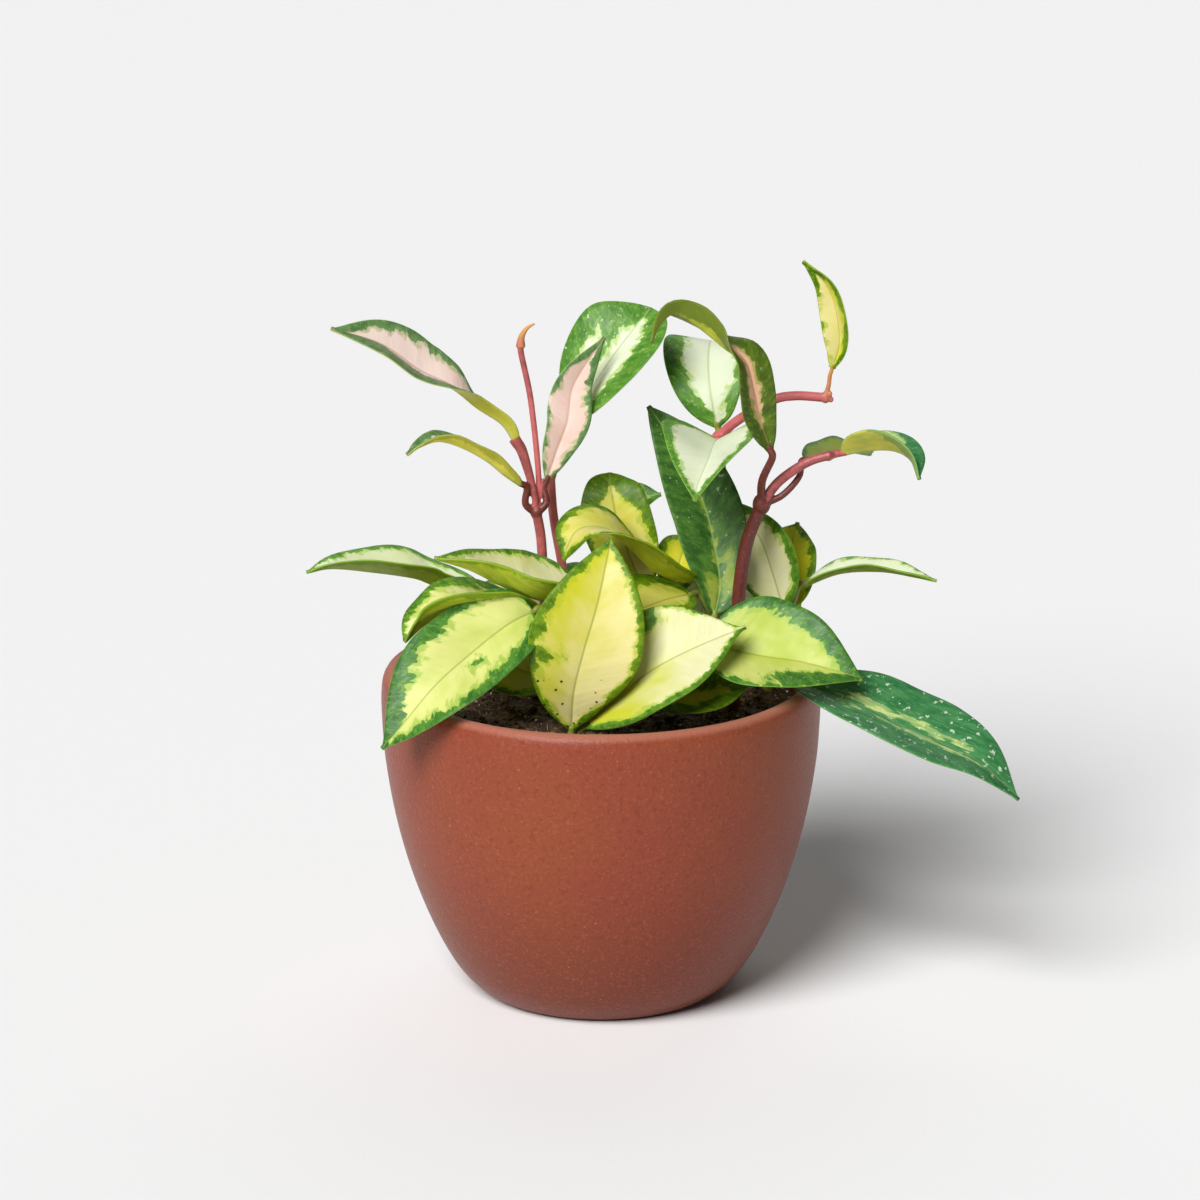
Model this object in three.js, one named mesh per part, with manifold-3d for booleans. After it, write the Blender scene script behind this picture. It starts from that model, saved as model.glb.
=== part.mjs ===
// Potted krimson princess hoya: a variegated wax plant in a round tapering planter.
// Millimetres, +Z up. The origin is the centre of the pot's flat bottom.
// X runs to the right of the plant's front view and the front looks towards -Y.
import * as THREE from 'three';
import { mergeVertices } from 'three/addons/utils/BufferGeometryUtils.js';
import Module from 'manifold-3d';

const manifold = await Module();
manifold.setup();

// Driving dimensions
const POT_WIDTH = 130;
const POT_HEIGHT = 97.3;
const WALL = 4.8;
const FLOOR = 6;
const SOIL_LEVEL = 87;
const BLADE_THICKNESS = 1;
const GAP = 0.3;
const HOLE_DEPTH = 22;

// Colours
const CLAY = 0x96503f;
const COMPOST = 0x2b211b;
const PINK_STEM = 0xb9666a;
const DARK_STEM = 0x6e3031;
const GREEN_STEM = 0x8f9150;
const CREAM = 0xe3e2ab;
const YELLOW = 0xc9cc52;
const BLUSH = 0xe9d0c2;
const PALE = 0xdfecd2;
const GREEN = 0x3f7a45;
const OLIVE = 0x9fa83f;

// General shapes

function vector(point) {
  return new THREE.Vector3(point[0], point[1], point[2]);
}

function curve(points) {
  return new THREE.CatmullRomCurve3(points.map(vector), false, 'catmullrom');
}

// One closed solid from a plain triangle mesh
function solid(geometry) {
  const bare = geometry.clone();
  bare.deleteAttribute('normal');
  bare.deleteAttribute('uv');
  const merged = mergeVertices(bare, 1e-4);
  return new manifold.Manifold(new manifold.Mesh({
    numProp: 3,
    vertProperties: Float32Array.from(merged.attributes.position.array),
    triVerts: Uint32Array.from(merged.index.array),
  }));
}

function geometryOf(body) {
  const mesh = body.getMesh();
  const geometry = new THREE.BufferGeometry();
  const positions = new Float32Array(mesh.vertProperties);
  geometry.setAttribute('position', new THREE.BufferAttribute(positions, 3));
  geometry.setIndex(new THREE.BufferAttribute(new Uint32Array(mesh.triVerts), 1));
  return geometry;
}

// A round rod along a smooth path, with flat ends
function rod(points, radius, sides, steps) {
  const section = new THREE.Shape();
  for (let i = 0; i < sides; i += 1) {
    const angle = (2 * Math.PI * i) / sides;
    const x = radius * Math.cos(angle);
    const y = radius * Math.sin(angle);
    if (i === 0) section.moveTo(x, y);
    else section.lineTo(x, y);
  }
  section.closePath();
  return solid(new THREE.ExtrudeGeometry(section, {
    steps,
    curveSegments: 1,
    extrudePath: curve(points),
  }));
}

// A rounded knob for buds and nodes
function knob(centre, radius, stretch) {
  const ball = new THREE.SphereGeometry(radius, 8, 6);
  ball.scale(1, 1, stretch);
  ball.translate(centre[0], centre[1], centre[2]);
  return solid(ball);
}

// Pot: one lathe-turned shell, closed at the bottom, with a rounded rim

const POT_OUTSIDE = [
  [33, 0], [37.4, 1.6], [44.2, 9], [51, 22], [57, 38], [61.4, 55], [64.1, 72],
  [POT_WIDTH / 2, 86], [64.8, 92.6], [63.2, 96.3], [61.4, POT_HEIGHT],
];

function potInside(z) {
  const outside = new THREE.SplineCurve(POT_OUTSIDE.map(([r, h]) => new THREE.Vector2(r, h)));
  let best = outside.getPoint(0);
  for (let i = 0; i <= 400; i += 1) {
    const point = outside.getPoint(i / 400);
    if (Math.abs(point.y - z) < Math.abs(best.y - z)) best = point;
  }
  return best.x - WALL;
}

function potGeometry() {
  const outside = new THREE.SplineCurve(POT_OUTSIDE.map(([r, h]) => new THREE.Vector2(r, h)));
  const profile = [new THREE.Vector2(0, 0), ...outside.getPoints(16)];
  profile.push(new THREE.Vector2(60.5, 96.5), new THREE.Vector2(60, 94));
  for (const z of [86, 72, 55, 38, 24, 14]) {
    profile.push(new THREE.Vector2(potInside(z), z));
  }
  profile.push(new THREE.Vector2(potInside(10) - 3, FLOOR + 1.4));
  profile.push(new THREE.Vector2(30, FLOOR), new THREE.Vector2(0, FLOOR));
  return new THREE.LatheGeometry(profile, 44);
}

// Vines: each stands in a plain hole in the soil
// path runs from the soil upwards, stalks carry the leaves named at their ends
const VINES = [
  {
    name: 'vine_right_front', colour: DARK_STEM, radius: 2, buds: [[47, -2.5, 149, 2.7]],
    path: [[39, -7, 90], [39.5, -5, 98], [40, -3, 112], [41, -2, 126], [43, -2, 138], [47, -2.5, 149]],
    branches: [{ radius: 1.4, path: [[47, -2.5, 149], [52, -3, 156], [60, -4, 162], [67, -4.5, 164.5]] }],
    stalks: [
      { leaf: 'leaf_c1', radius: 1.2, from: [47, -2.5, 149], by: [[47, -6, 157]] },
      { leaf: 'leaf_c2', radius: 1.2, from: [66, -4.5, 164], by: [] },
      { leaf: 'leaf_c3', radius: 1, from: [47, -2.5, 149], by: [[53, -2, 151.5], [58, -1, 157]] },
      { leaf: 'leaf_q', radius: 1.2, from: [39.3, -6, 94], by: [[45, -12, 98]] },
    ],
  },
  {
    name: 'vine_right_middle', colour: PINK_STEM, radius: 1.7,
    buds: [[34.5, 20.5, 163, 2], [66, 14, 177, 2]],
    path: [[32, 1, 90], [33, 3, 98], [34, 10, 112], [35, 16.5, 128], [36, 21, 145], [34.5, 20.5, 163]],
    branches: [{
      radius: 1.4,
      path: [[34.5, 20.5, 163], [40, 17, 169], [50, 14, 176], [57, 14, 177.5], [66, 14, 177]],
    }],
    stalks: [
      { leaf: 'leaf_f', radius: 1.2, from: [33.4, 6, 104], by: [] },
      { leaf: 'leaf_t2', radius: 1.1, from: [34.2, 11, 114], by: [[33, 9.5, 120]] },
      { leaf: 'leaf_w', radius: 1.1, from: [33.6, 7, 107], by: [[31.5, 6, 115]] },
      { leaf: 'leaf_p', radius: 1.3, from: [33, 3, 97], by: [[29, -9, 106]] },
      { leaf: 'leaf_e1', radius: 1.1, from: [35.8, 21, 151], by: [] },
      { leaf: 'leaf_e2', radius: 1.1, from: [34.6, 20.5, 162], by: [] },
      { leaf: 'leaf_d1', radius: 0.9, from: [66, 14, 177], by: [[67, 14, 181]] },
    ],
  },
  {
    name: 'vine_right_back', colour: GREEN_STEM, radius: 1.8, buds: [],
    path: [[50, 13, 90], [51, 13, 96], [54, 12.5, 106]], branches: [],
    stalks: [
      { leaf: 'leaf_g', radius: 1.1, from: [53, 12.7, 102], by: [] },
      { leaf: 'leaf_h', radius: 1.1, from: [54, 12.5, 105], by: [] },
      { leaf: 'leaf_i', radius: 1.1, from: [54, 12.5, 105], by: [[57, 11.5, 115]] },
    ],
  },
  {
    name: 'vine_left_tall', colour: PINK_STEM, radius: 1.5, buds: [[-19, 4, 148, 2.1]],
    path: [[-15, 3, 90], [-16, 4, 105], [-17, 4, 122], [-17.5, 4, 138], [-19, 4, 148]],
    branches: [
      { radius: 1, path: [[-19, 4, 148], [-19, 6, 160], [-21, 7, 178], [-23.5, 7, 193], [-23, 7, 196]] },
      { radius: 1.5, path: [[-23.5, 7, 193.5], [-22.5, 7, 197], [-19.5, 7, 201]] },
    ],
    stalks: [
      { leaf: 'leaf_a1', radius: 1.2, from: [-19, 4.5, 149], by: [[-19.5, 5, 156]] },
      { leaf: 'leaf_a2', radius: 1, from: [-19, 4, 147], by: [[-22, 2.5, 149]] },
      { leaf: 'leaf_a3', radius: 1, from: [-19, 4, 147], by: [[-16.5, 5, 150]] },
    ],
  },
  {
    name: 'vine_left_back', colour: PINK_STEM, radius: 1.4, buds: [],
    path: [[-9, 14, 90], [-9.5, 14, 105], [-11, 14, 122], [-14, 14.5, 140], [-15, 15, 153]],
    branches: [], stalks: [{ leaf: 'leaf_b1', radius: 1.2, from: [-15, 15, 152], by: [] }],
  },
  {
    name: 'vine_front', colour: GREEN_STEM, radius: 2.2, buds: [],
    path: [[-8, -30, 89], [-8, -30, 90.5]], branches: [],
    stalks: [
      { leaf: 'leaf_m', radius: 1.3, from: [-8.3, -30, 88.5], by: [] },
      { leaf: 'leaf_o', radius: 1.3, from: [-7.7, -30, 88.5], by: [] },
    ],
  },
  {
    name: 'vine_left_front', colour: GREEN_STEM, radius: 1.8, buds: [],
    path: [[-6, -9, 90], [-5.5, -9.5, 96], [-5, -10, 105], [-4, -10.5, 111]], branches: [],
    stalks: [
      { leaf: 'leaf_n', radius: 1.2, from: [-5.2, -10, 101], by: [[-12, -17, 114]] },
      { leaf: 'leaf_l', radius: 1.1, from: [-5, -10, 105], by: [[-12, -11, 110]] },
      { leaf: 'leaf_k', radius: 1.1, from: [-4, -10.5, 110], by: [] },
      { leaf: 'leaf_s', radius: 1.1, from: [-5.6, -9.5, 93], by: [[-12, -14, 97]] },
    ],
  },
  {
    name: 'vine_left', colour: GREEN_STEM, radius: 1.6, buds: [],
    path: [[-26, 8, 90], [-27, 8, 98], [-29, 8, 108]], branches: [],
    stalks: [
      { leaf: 'leaf_j', radius: 1.1, from: [-29, 8, 107], by: [[-30, 5, 115]] },
      { leaf: 'leaf_back_left', radius: 1.1, from: [-27.2, 8, 99], by: [[-28, 16, 102]] },
    ],
  },
  {
    name: 'vine_centre', colour: GREEN_STEM, radius: 1.7, buds: [],
    path: [[12, 21, 90], [13, 21, 97], [13.5, 21, 106]], branches: [],
    stalks: [
      { leaf: 'leaf_t1', radius: 1.1, from: [13.5, 21, 105], by: [] },
      { leaf: 'leaf_u', radius: 1, from: [13, 21, 100], by: [[6, 26, 115]] },
      { leaf: 'leaf_v', radius: 1, from: [13.3, 21, 103], by: [[18, 16, 110]] },
    ],
  },
  {
    name: 'vine_low', colour: GREEN_STEM, radius: 1.7, buds: [],
    path: [[4, -19, 90], [4, -19, 92.5]], branches: [],
    stalks: [{ leaf: 'leaf_r', radius: 1.1, from: [4, -19, 90.5], by: [] }],
  },
  {
    name: 'vine_back', colour: GREEN_STEM, radius: 1.8, buds: [],
    path: [[-4, 33, 90], [-4, 33, 94], [-4, 33.5, 98]], branches: [],
    stalks: [
      { leaf: 'leaf_back_centre', radius: 1.1, from: [-4, 33.4, 96], by: [] },
      { leaf: 'leaf_back_low', radius: 1.1, from: [-4, 33.1, 93], by: [] },
      { leaf: 'leaf_back_middle', radius: 1.1, from: [-4, 33.2, 94], by: [] },
    ],
  },
  {
    name: 'vine_back_right', colour: GREEN_STEM, radius: 1.7, buds: [],
    path: [[27, 30, 90], [27, 30, 94], [26.5, 30, 98]], branches: [],
    stalks: [
      { leaf: 'leaf_back_right', radius: 1.1, from: [27, 30, 93], by: [] },
      { leaf: 'leaf_back_high', radius: 1.1, from: [26.6, 30, 97], by: [] },
    ],
  },
];

// Leaves: rib runs from the base to the tip, face is the way the upper side looks along it
// half is half the width, fold the rise of each half in degrees, wide the place of the widest
const LEAVES = [
  {
    name: 'leaf_m', colour: YELLOW, half: 17, fold: 10, wide: 0.46, wave: 0.5,
    rib: [[-10, -31, 92], [-8, -34, 102.5], [-5, -34.5, 114], [-1, -33, 128], [3, -26, 145.5]],
    face: [[0, -1, 0.1], [0, -1, 0.2], [0, -0.9, 0.5]],
  },
  {
    name: 'leaf_o', colour: CREAM, half: 17, fold: 20, wide: 0.5, wave: 0.5,
    rib: [[-3, -28.5, 91], [5, -31, 98.5], [14, -32, 106.5], [26, -31, 113], [42, -28, 119]],
    face: [[-0.3, -0.7, 0.65]],
  },
  {
    name: 'leaf_n', colour: CREAM, half: 14.5, fold: 16, wide: 0.5, wave: 0.5,
    rib: [[-22, -25, 122.5], [-28, -29.5, 119.5], [-38, -36, 113], [-48, -43, 105.5], [-58, -47, 94],
      [-63, -48, 88.5]],
    face: [[-0.15, -0.8, 0.45], [-0.25, -0.65, 0.7]],
  },
  {
    name: 'leaf_p', colour: CREAM, half: 18, fold: 25, wide: 0.4, wave: 0.6,
    rib: [[29, -19, 112], [34, -21, 111], [46, -24, 109], [58, -27, 108], [69, -30, 106], [76, -31, 104]],
    face: [[0, -0.6, 0.8]],
  },
  {
    name: 'leaf_q', colour: GREEN, half: 15.5, fold: 15, wide: 0.52, wave: 0.5,
    rib: [[56, -20, 100], [75, -27, 95], [87, -31, 90], [98, -35, 86], [110, -39, 81], [121, -42, 71]],
    face: [[0.2, -0.35, 0.9]],
  },
  {
    name: 'leaf_r', colour: OLIVE, half: 13, fold: 24, wide: 0.5, wave: 0.4,
    rib: [[9, -21, 95], [17, -22, 96], [32, -22, 98], [46, -20, 102]],
    face: [[0, -0.55, 0.83]],
  },
  {
    name: 'leaf_s', colour: CREAM, half: 13, fold: 15, wide: 0.5, wave: 0.4,
    rib: [[-18, -18, 101], [-24, -21, 104], [-32, -22, 110], [-40, -20, 114]],
    face: [[0, -0.6, 0.8]],
  },
  {
    name: 'leaf_f', colour: GREEN, half: 12, fold: 33, wide: 0.42, wave: 0.6,
    rib: [[33.5, 1, 114], [35, 5, 123], [33, 11, 135], [30, 16, 145], [23, 22, 159], [14, 27, 171]],
    face: [[0.1, -1, 0.2]],
  },
  {
    name: 'leaf_e1', colour: PALE, half: 12.5, fold: 6, wide: 0.5, wave: 0.4,
    rib: [[34.5, 22, 166], [33, 22, 173], [32, 26, 180], [32, 34, 185], [33, 46, 186], [35, 58, 180]],
    face: [[-0.3, -0.9, 0.2], [-0.2, -0.8, 0.6], [0, -0.2, 1], [0, 0.3, 1]],
  },
  {
    name: 'leaf_e2', colour: PALE, half: 16.5, fold: 30, wide: 0.32, wave: 0.5,
    rib: [[34.5, 14, 164], [33, 5, 165], [31, -10, 164], [28, -22, 160], [27, -28, 157]],
    face: [[0, 0.1, 1]],
  },
  {
    name: 'leaf_a3', colour: BLUSH, half: 7, fold: 30, wide: 0.45, wave: 0.4,
    rib: [[-16, 6, 154], [-13, 7, 163], [-10, 9, 171], [-8, 11, 182], [1, 15, 195]],
    face: [[0.2, -1, 0]],
  },
  {
    name: 'leaf_b1', colour: PALE, half: 16, fold: 18, wide: 0.6, wave: 0.6,
    rib: [[-8.5, 18.3, 168], [-4.5, 19.2, 175], [0, 20.5, 182.2], [6, 23, 191.2], [11.5, 28, 197],
      [15.5, 36, 198.5]],
    face: [[-0.6, -0.5, 0.6], [-0.5, -0.6, 0.55], [-0.4, -0.4, 0.8]],
  },
  {
    name: 'leaf_k', colour: CREAM, half: 17, fold: 33, wide: 0.3, wave: 0.5,
    rib: [[-3, -12, 118.5], [-12, -16, 123], [-21, -20, 126.5], [-29, -22, 130.5], [-38, -25, 136],
      [-48, -28, 140]],
    face: [[0.3, 0.05, 0.95]],
  },
  {
    name: 'leaf_j', colour: CREAM, half: 12, fold: 30, wide: 0.45, wave: 0.4,
    rib: [[-34, 2, 121], [-48, 0, 124], [-55, -2, 127], [-68, -6, 130], [-79, -10, 132], [-86, -12, 131]],
    face: [[0.1, 0.1, 1]],
  },
  {
    name: 'leaf_l', colour: CREAM, half: 13, fold: 33, wide: 0.45, wave: 0.5,
    rib: [[-19, -12, 116], [-25, -15, 119.5], [-36, -19.5, 122], [-45, -24, 122.5], [-52, -26, 119],
      [-57, -28, 114.5]],
    face: [[0, 0.1, 1]],
  },
  {
    name: 'leaf_t1', colour: YELLOW, half: 10.5, fold: 4, wide: 0.42, wave: 0.4,
    rib: [[13, 19, 116], [9, 19, 126], [5, 20, 137], [3, 22.5, 145], [2, 28, 149.5], [2, 37, 148]],
    face: [[-0.3, -1, 0.2], [-0.2, -0.8, 0.5], [0, 0, 1], [0, 0.5, 0.8]],
  },
  {
    name: 'leaf_t2', colour: YELLOW, half: 12, fold: 16, wide: 0.6, wave: 0.3,
    rib: [[29, 7, 123], [17, 3, 127], [9, 1, 135], [1, -1, 141], [-7, -4, 141], [-11, -7, 133]],
    face: [[0.2, 0.3, 1], [0.3, 0.3, 1], [0.2, 0.1, 1], [-0.4, -0.3, 0.8], [-0.5, -0.6, 0.6]],
  },
  {
    name: 'leaf_w', colour: CREAM, half: 9.5, fold: 10, wide: 0.45, wave: 0.4,
    rib: [[27, 4, 119.5], [19, -4, 120], [11, -11, 119], [2, -17, 117]],
    face: [[0.1, -0.35, 0.9]],
  },
  {
    name: 'leaf_g', colour: PALE, half: 10, fold: 24, wide: 0.45, wave: 0.4,
    rib: [[54, 9, 114], [51, 10, 124], [47, 11, 135], [39, 13, 146]],
    face: [[-0.2, -1, 0.1]],
  },
  {
    name: 'leaf_h', colour: OLIVE, half: 8, fold: 28, wide: 0.5, wave: 0.4,
    rib: [[57, 15, 112], [57, 19, 121], [57, 26, 128], [59, 34, 133]],
    face: [[0, -0.8, 0.6]],
  },
  {
    name: 'leaf_i', colour: CREAM, half: 10, fold: 22, wide: 0.42, wave: 0.4,
    rib: [[61, 11, 121], [71, 10, 125], [83, 8, 126], [93, 5, 125], [99, 3, 124]],
    face: [[0, 0.1, 1]],
  },
  {
    name: 'leaf_c1', colour: GREEN, half: 7, fold: 25, wide: 0.4, wave: 0.4,
    rib: [[49, -10, 167.5], [46, -11, 177], [44, -12, 186], [41.5, -11, 194], [36, -9, 198],
      [31, -8, 202], [25, -8, 206.5], [20, -9, 208], [16, -11, 204], [14.5, -13, 200]],
    face: [[0.1, -1, 0], [0.2, -1, 0.1], [0.5, -0.6, 0.5], [0.3, 0.4, 0.8], [-0.2, 0.7, 0.7],
      [-0.6, 0.5, 0.6]],
  },
  {
    name: 'leaf_c2', colour: OLIVE, half: 8.5, fold: 35, wide: 0.35, wave: 0.5,
    rib: [[73, -4, 165], [79, -7, 167], [85, -11, 168], [90, -15, 166], [92, -19, 161]],
    face: [[0, 0.3, 1], [0.1, 0.2, 1], [0.6, 0, 0.8]],
  },
  {
    name: 'leaf_c3', colour: OLIVE, half: 8, fold: 20, wide: 0.45, wave: 0.4,
    rib: [[60, 1, 161.5], [66, 9, 161], [73, 17, 160], [80, 24, 157]],
    face: [[-0.2, -0.2, 1]],
  },
  {
    name: 'leaf_a1', colour: BLUSH, half: 9.5, fold: 28, wide: 0.6, wave: 0.5,
    rib: [[-23, 4, 165], [-30, 4, 170], [-36, 3, 176], [-43, 1, 183.5], [-53, -1, 189],
      [-64, -4, 197.5], [-78, -8, 203]],
    face: [[0.2, 0.7, 0.7], [0.2, 0.6, 0.75], [0.2, 0.2, 1], [0.3, -0.4, 0.85], [0.3, -0.6, 0.75],
      [0.2, -0.6, 0.8]],
  },
  {
    name: 'leaf_a2', colour: OLIVE, half: 6, fold: 35, wide: 0.5, wave: 0.4,
    rib: [[-23.5, 2, 154], [-28, -1, 158], [-33, -4, 163], [-40, -8, 168], [-47, -12, 171], [-53, -16, 170],
      [-56, -18, 168]],
    face: [[0.2, 0.6, 0.8], [0.2, 0.5, 0.9], [0.1, 0.3, 1], [-0.3, -0.3, 0.9], [-0.6, -0.5, 0.6]],
  },
  {
    name: 'leaf_d1', colour: YELLOW, half: 6, fold: 40, wide: 0.45, wave: 0.3,
    rib: [[68, 14, 186], [70, 14, 193], [69, 14, 203], [66, 14, 211], [59, 14, 218]],
    face: [[-0.4, -0.9, 0]],
  },
  {
    name: 'leaf_u', colour: GREEN, half: 7, fold: 20, wide: 0.5, wave: 0.3,
    rib: [[3, 28, 129], [6, 29, 136], [11, 30, 141], [18, 30, 143]],
    face: [[-0.5, -0.6, 0.6]],
  },
  {
    name: 'leaf_v', colour: OLIVE, half: 6, fold: 15, wide: 0.5, wave: 0.3,
    rib: [[22.5, 14, 120], [23.8, 18, 125], [25.4, 25, 128], [27.5, 34, 129]],
    face: [[0, -0.7, 0.7]],
  },
  {
    name: 'leaf_back_low', colour: CREAM, half: 15, fold: 15, wide: 0.48, wave: 0.5,
    rib: [[-11, 40, 99], [-19, 50, 104], [-27, 61, 103], [-35, 70, 93]],
    face: [[-0.2, 0.2, 1]],
  },
  {
    name: 'leaf_back_middle', colour: GREEN, half: 15, fold: 15, wide: 0.48, wave: 0.5,
    rib: [[4, 41, 100], [9, 51, 106], [14, 62, 104], [20, 72, 94]],
    face: [[0.1, 0.3, 1]],
  },
  {
    name: 'leaf_back_right', colour: CREAM, half: 15, fold: 16, wide: 0.48, wave: 0.5,
    rib: [[33, 35, 99], [42, 43, 106], [51, 51, 105], [60, 57, 96]],
    face: [[0.2, 0.2, 1]],
  },
  {
    name: 'leaf_back_left', colour: CREAM, half: 14, fold: 16, wide: 0.48, wave: 0.5,
    rib: [[-30, 22, 103], [-37, 31, 108], [-45, 41, 106], [-52, 49, 98]],
    face: [[-0.2, 0.2, 1]],
  },
  {
    name: 'leaf_back_centre', colour: GREEN, half: 12, fold: 20, wide: 0.48, wave: 0.4,
    rib: [[-6, 37, 101], [-9, 42, 106], [-14, 48, 109], [-22, 55, 108]],
    face: [[0, -0.3, 1]],
  },
  {
    name: 'leaf_back_high', colour: CREAM, half: 13, fold: 20, wide: 0.48, wave: 0.4,
    rib: [[29, 30, 104], [34, 34, 112], [40, 41, 117], [48, 50, 116]],
    face: [[0, -0.2, 1]],
  },
];

const STEPS_ALONG = 10;
const STEPS_ACROSS = 4;
const NECK = 1;
const TIP = 0.5;

// Half width along the leaf, from the neck at 0 to the drawn-out tip at 1
function halfWidth(leaf, s) {
  if (s < leaf.wide) {
    const v = (leaf.wide - s) / leaf.wide;
    return Math.max(NECK, leaf.half * (1 - v * v) ** 0.62);
  }
  const v = (s - leaf.wide) / (1 - leaf.wide);
  return Math.max(TIP, leaf.half * (1 - v ** 1.9) ** 1.15);
}

function faceAt(leaf, s) {
  const place = s * (leaf.face.length - 1);
  const first = Math.min(Math.floor(place), leaf.face.length - 1);
  const second = Math.min(first + 1, leaf.face.length - 1);
  return vector(leaf.face[first]).lerp(vector(leaf.face[second]), place - first);
}

// Middle surface of a blade at s along it and q across it, q from -1 to 1
function bladePoint(leaf, path, s, q) {
  const along = path.getTangentAt(s);
  const across = along.clone().cross(faceAt(leaf, s)).normalize();
  const up = across.clone().cross(along).normalize();
  const fold = THREE.MathUtils.degToRad(leaf.fold);
  const width = halfWidth(leaf, s);
  const ripple = leaf.wave * Math.sin(13 * s + 1.7 * Math.sign(q)) * Math.abs(q) * Math.sin(Math.PI * s);
  return path.getPointAt(s)
    .addScaledVector(across, width * q * Math.cos(fold))
    .addScaledVector(up, width * Math.abs(q) * Math.sin(fold) + ripple);
}

// A folded, waved blade of even thickness, triangles alike on both faces
function bladeGeometry(leaf) {
  const path = curve(leaf.rib);
  const rows = STEPS_ALONG + 1;
  const columns = STEPS_ACROSS + 1;
  const grid = [];
  for (let i = 0; i < rows; i += 1) {
    for (let j = 0; j < columns; j += 1) {
      grid.push(bladePoint(leaf, path, i / STEPS_ALONG, (2 * j) / STEPS_ACROSS - 1));
    }
  }
  const at = (i, j) => grid[i * columns + j];
  const positions = [];
  for (const side of [1, -1]) {
    for (let i = 0; i < rows; i += 1) {
      for (let j = 0; j < columns; j += 1) {
        const along = at(Math.min(i + 1, rows - 1), j).clone().sub(at(Math.max(i - 1, 0), j));
        const across = at(i, Math.min(j + 1, columns - 1)).clone().sub(at(i, Math.max(j - 1, 0)));
        const normal = across.cross(along).normalize();
        const point = at(i, j).clone().addScaledVector(normal, (side * BLADE_THICKNESS) / 2);
        positions.push(point.x, point.y, point.z);
      }
    }
  }
  const faces = [];
  const quad = (a, b, c, d) => faces.push(a, b, c, a, c, d);
  const index = (side, i, j) => side * rows * columns + i * columns + j;
  for (let i = 0; i < STEPS_ALONG; i += 1) {
    for (let j = 0; j < STEPS_ACROSS; j += 1) {
      faces.push(index(0, i, j), index(0, i, j + 1), index(0, i + 1, j + 1));
      faces.push(index(0, i, j), index(0, i + 1, j + 1), index(0, i + 1, j));
      faces.push(index(1, i, j), index(1, i + 1, j + 1), index(1, i, j + 1));
      faces.push(index(1, i, j), index(1, i + 1, j), index(1, i + 1, j + 1));
    }
    quad(index(1, i, 0), index(0, i, 0), index(0, i + 1, 0), index(1, i + 1, 0));
    quad(index(0, i, STEPS_ACROSS), index(1, i, STEPS_ACROSS), index(1, i + 1, STEPS_ACROSS),
      index(0, i + 1, STEPS_ACROSS));
  }
  for (let j = 0; j < STEPS_ACROSS; j += 1) {
    quad(index(1, 0, j), index(1, 0, j + 1), index(0, 0, j + 1), index(0, 0, j));
    quad(index(0, STEPS_ALONG, j), index(0, STEPS_ALONG, j + 1), index(1, STEPS_ALONG, j + 1),
      index(1, STEPS_ALONG, j));
  }
  const geometry = new THREE.BufferGeometry();
  geometry.setAttribute('position', new THREE.Float32BufferAttribute(positions, 3));
  geometry.setIndex(faces);
  return geometry;
}

// A leaf stalk runs from the vine and stops just short of its blade
function stalkSolid(stalk) {
  const leaf = LEAVES.find((entry) => entry.name === stalk.leaf);
  const path = curve(leaf.rib);
  const start = path.getPointAt(0);
  const along = path.getTangentAt(0);
  const end = start.clone().addScaledVector(along, -GAP);
  const before = start.clone().addScaledVector(along, -GAP - 3);
  const points = [stalk.from, ...stalk.by, before.toArray(), end.toArray()];
  return rod(points, stalk.radius, 6, 3 + stalk.by.length);
}

// A vine with its branches, buds and leaf stalks is one body
function vineGeometry(vine) {
  const foot = vine.path[0];
  const buried = [foot[0], foot[1], SOIL_LEVEL - HOLE_DEPTH + GAP];
  const rise = [foot[0], foot[1], SOIL_LEVEL - 3];
  let body = rod([buried, rise, ...vine.path], vine.radius, 8, vine.path.length + 4);
  for (const branch of vine.branches) {
    body = body.add(rod(branch.path, branch.radius, 8, branch.path.length + 3));
  }
  for (const bud of vine.buds) body = body.add(knob(bud, bud[3], 1.2));
  for (const stalk of vine.stalks) body = body.add(stalkSolid(stalk));
  return geometryOf(body);
}

// Soil: fills the pot, uneven on top, with a plain hole for each vine

function soilTop(x, y) {
  const swell = 0.9 * Math.sin(0.21 * x + 0.8) * Math.cos(0.18 * y);
  const ripple = 0.5 * Math.sin(0.37 * y + 0.11 * x);
  return SOIL_LEVEL + swell + ripple;
}

function soilGeometry() {
  const profile = [new THREE.Vector2(0, FLOOR + GAP), new THREE.Vector2(30, FLOOR + GAP)];
  profile.push(new THREE.Vector2(potInside(10) - 3.6, FLOOR + 2));
  for (const z of [14, 24, 38, 55, 72]) profile.push(new THREE.Vector2(potInside(z) - 0.45, z));
  profile.push(new THREE.Vector2(potInside(84) - 0.5, 84));
  for (const r of [46, 34, 22, 10]) profile.push(new THREE.Vector2(r, SOIL_LEVEL));
  profile.push(new THREE.Vector2(0, SOIL_LEVEL));
  const turned = new THREE.LatheGeometry(profile, 32);
  const places = turned.attributes.position;
  const tilt = new THREE.Matrix4().makeRotationX(Math.PI / 2);
  turned.applyMatrix4(tilt);
  for (let i = 0; i < places.count; i += 1) {
    if (places.getZ(i) > SOIL_LEVEL - 1) {
      places.setZ(i, soilTop(places.getX(i), places.getY(i)));
    }
  }
  let body = solid(turned);
  for (const vine of VINES) {
    const hole = new THREE.CylinderGeometry(vine.radius + 0.45, vine.radius + 0.45, HOLE_DEPTH + 10, 12);
    hole.rotateX(Math.PI / 2);
    hole.translate(vine.path[0][0], vine.path[0][1], SOIL_LEVEL - HOLE_DEPTH + (HOLE_DEPTH + 10) / 2);
    body = body.subtract(solid(hole));
  }
  return geometryOf(body);
}

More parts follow.
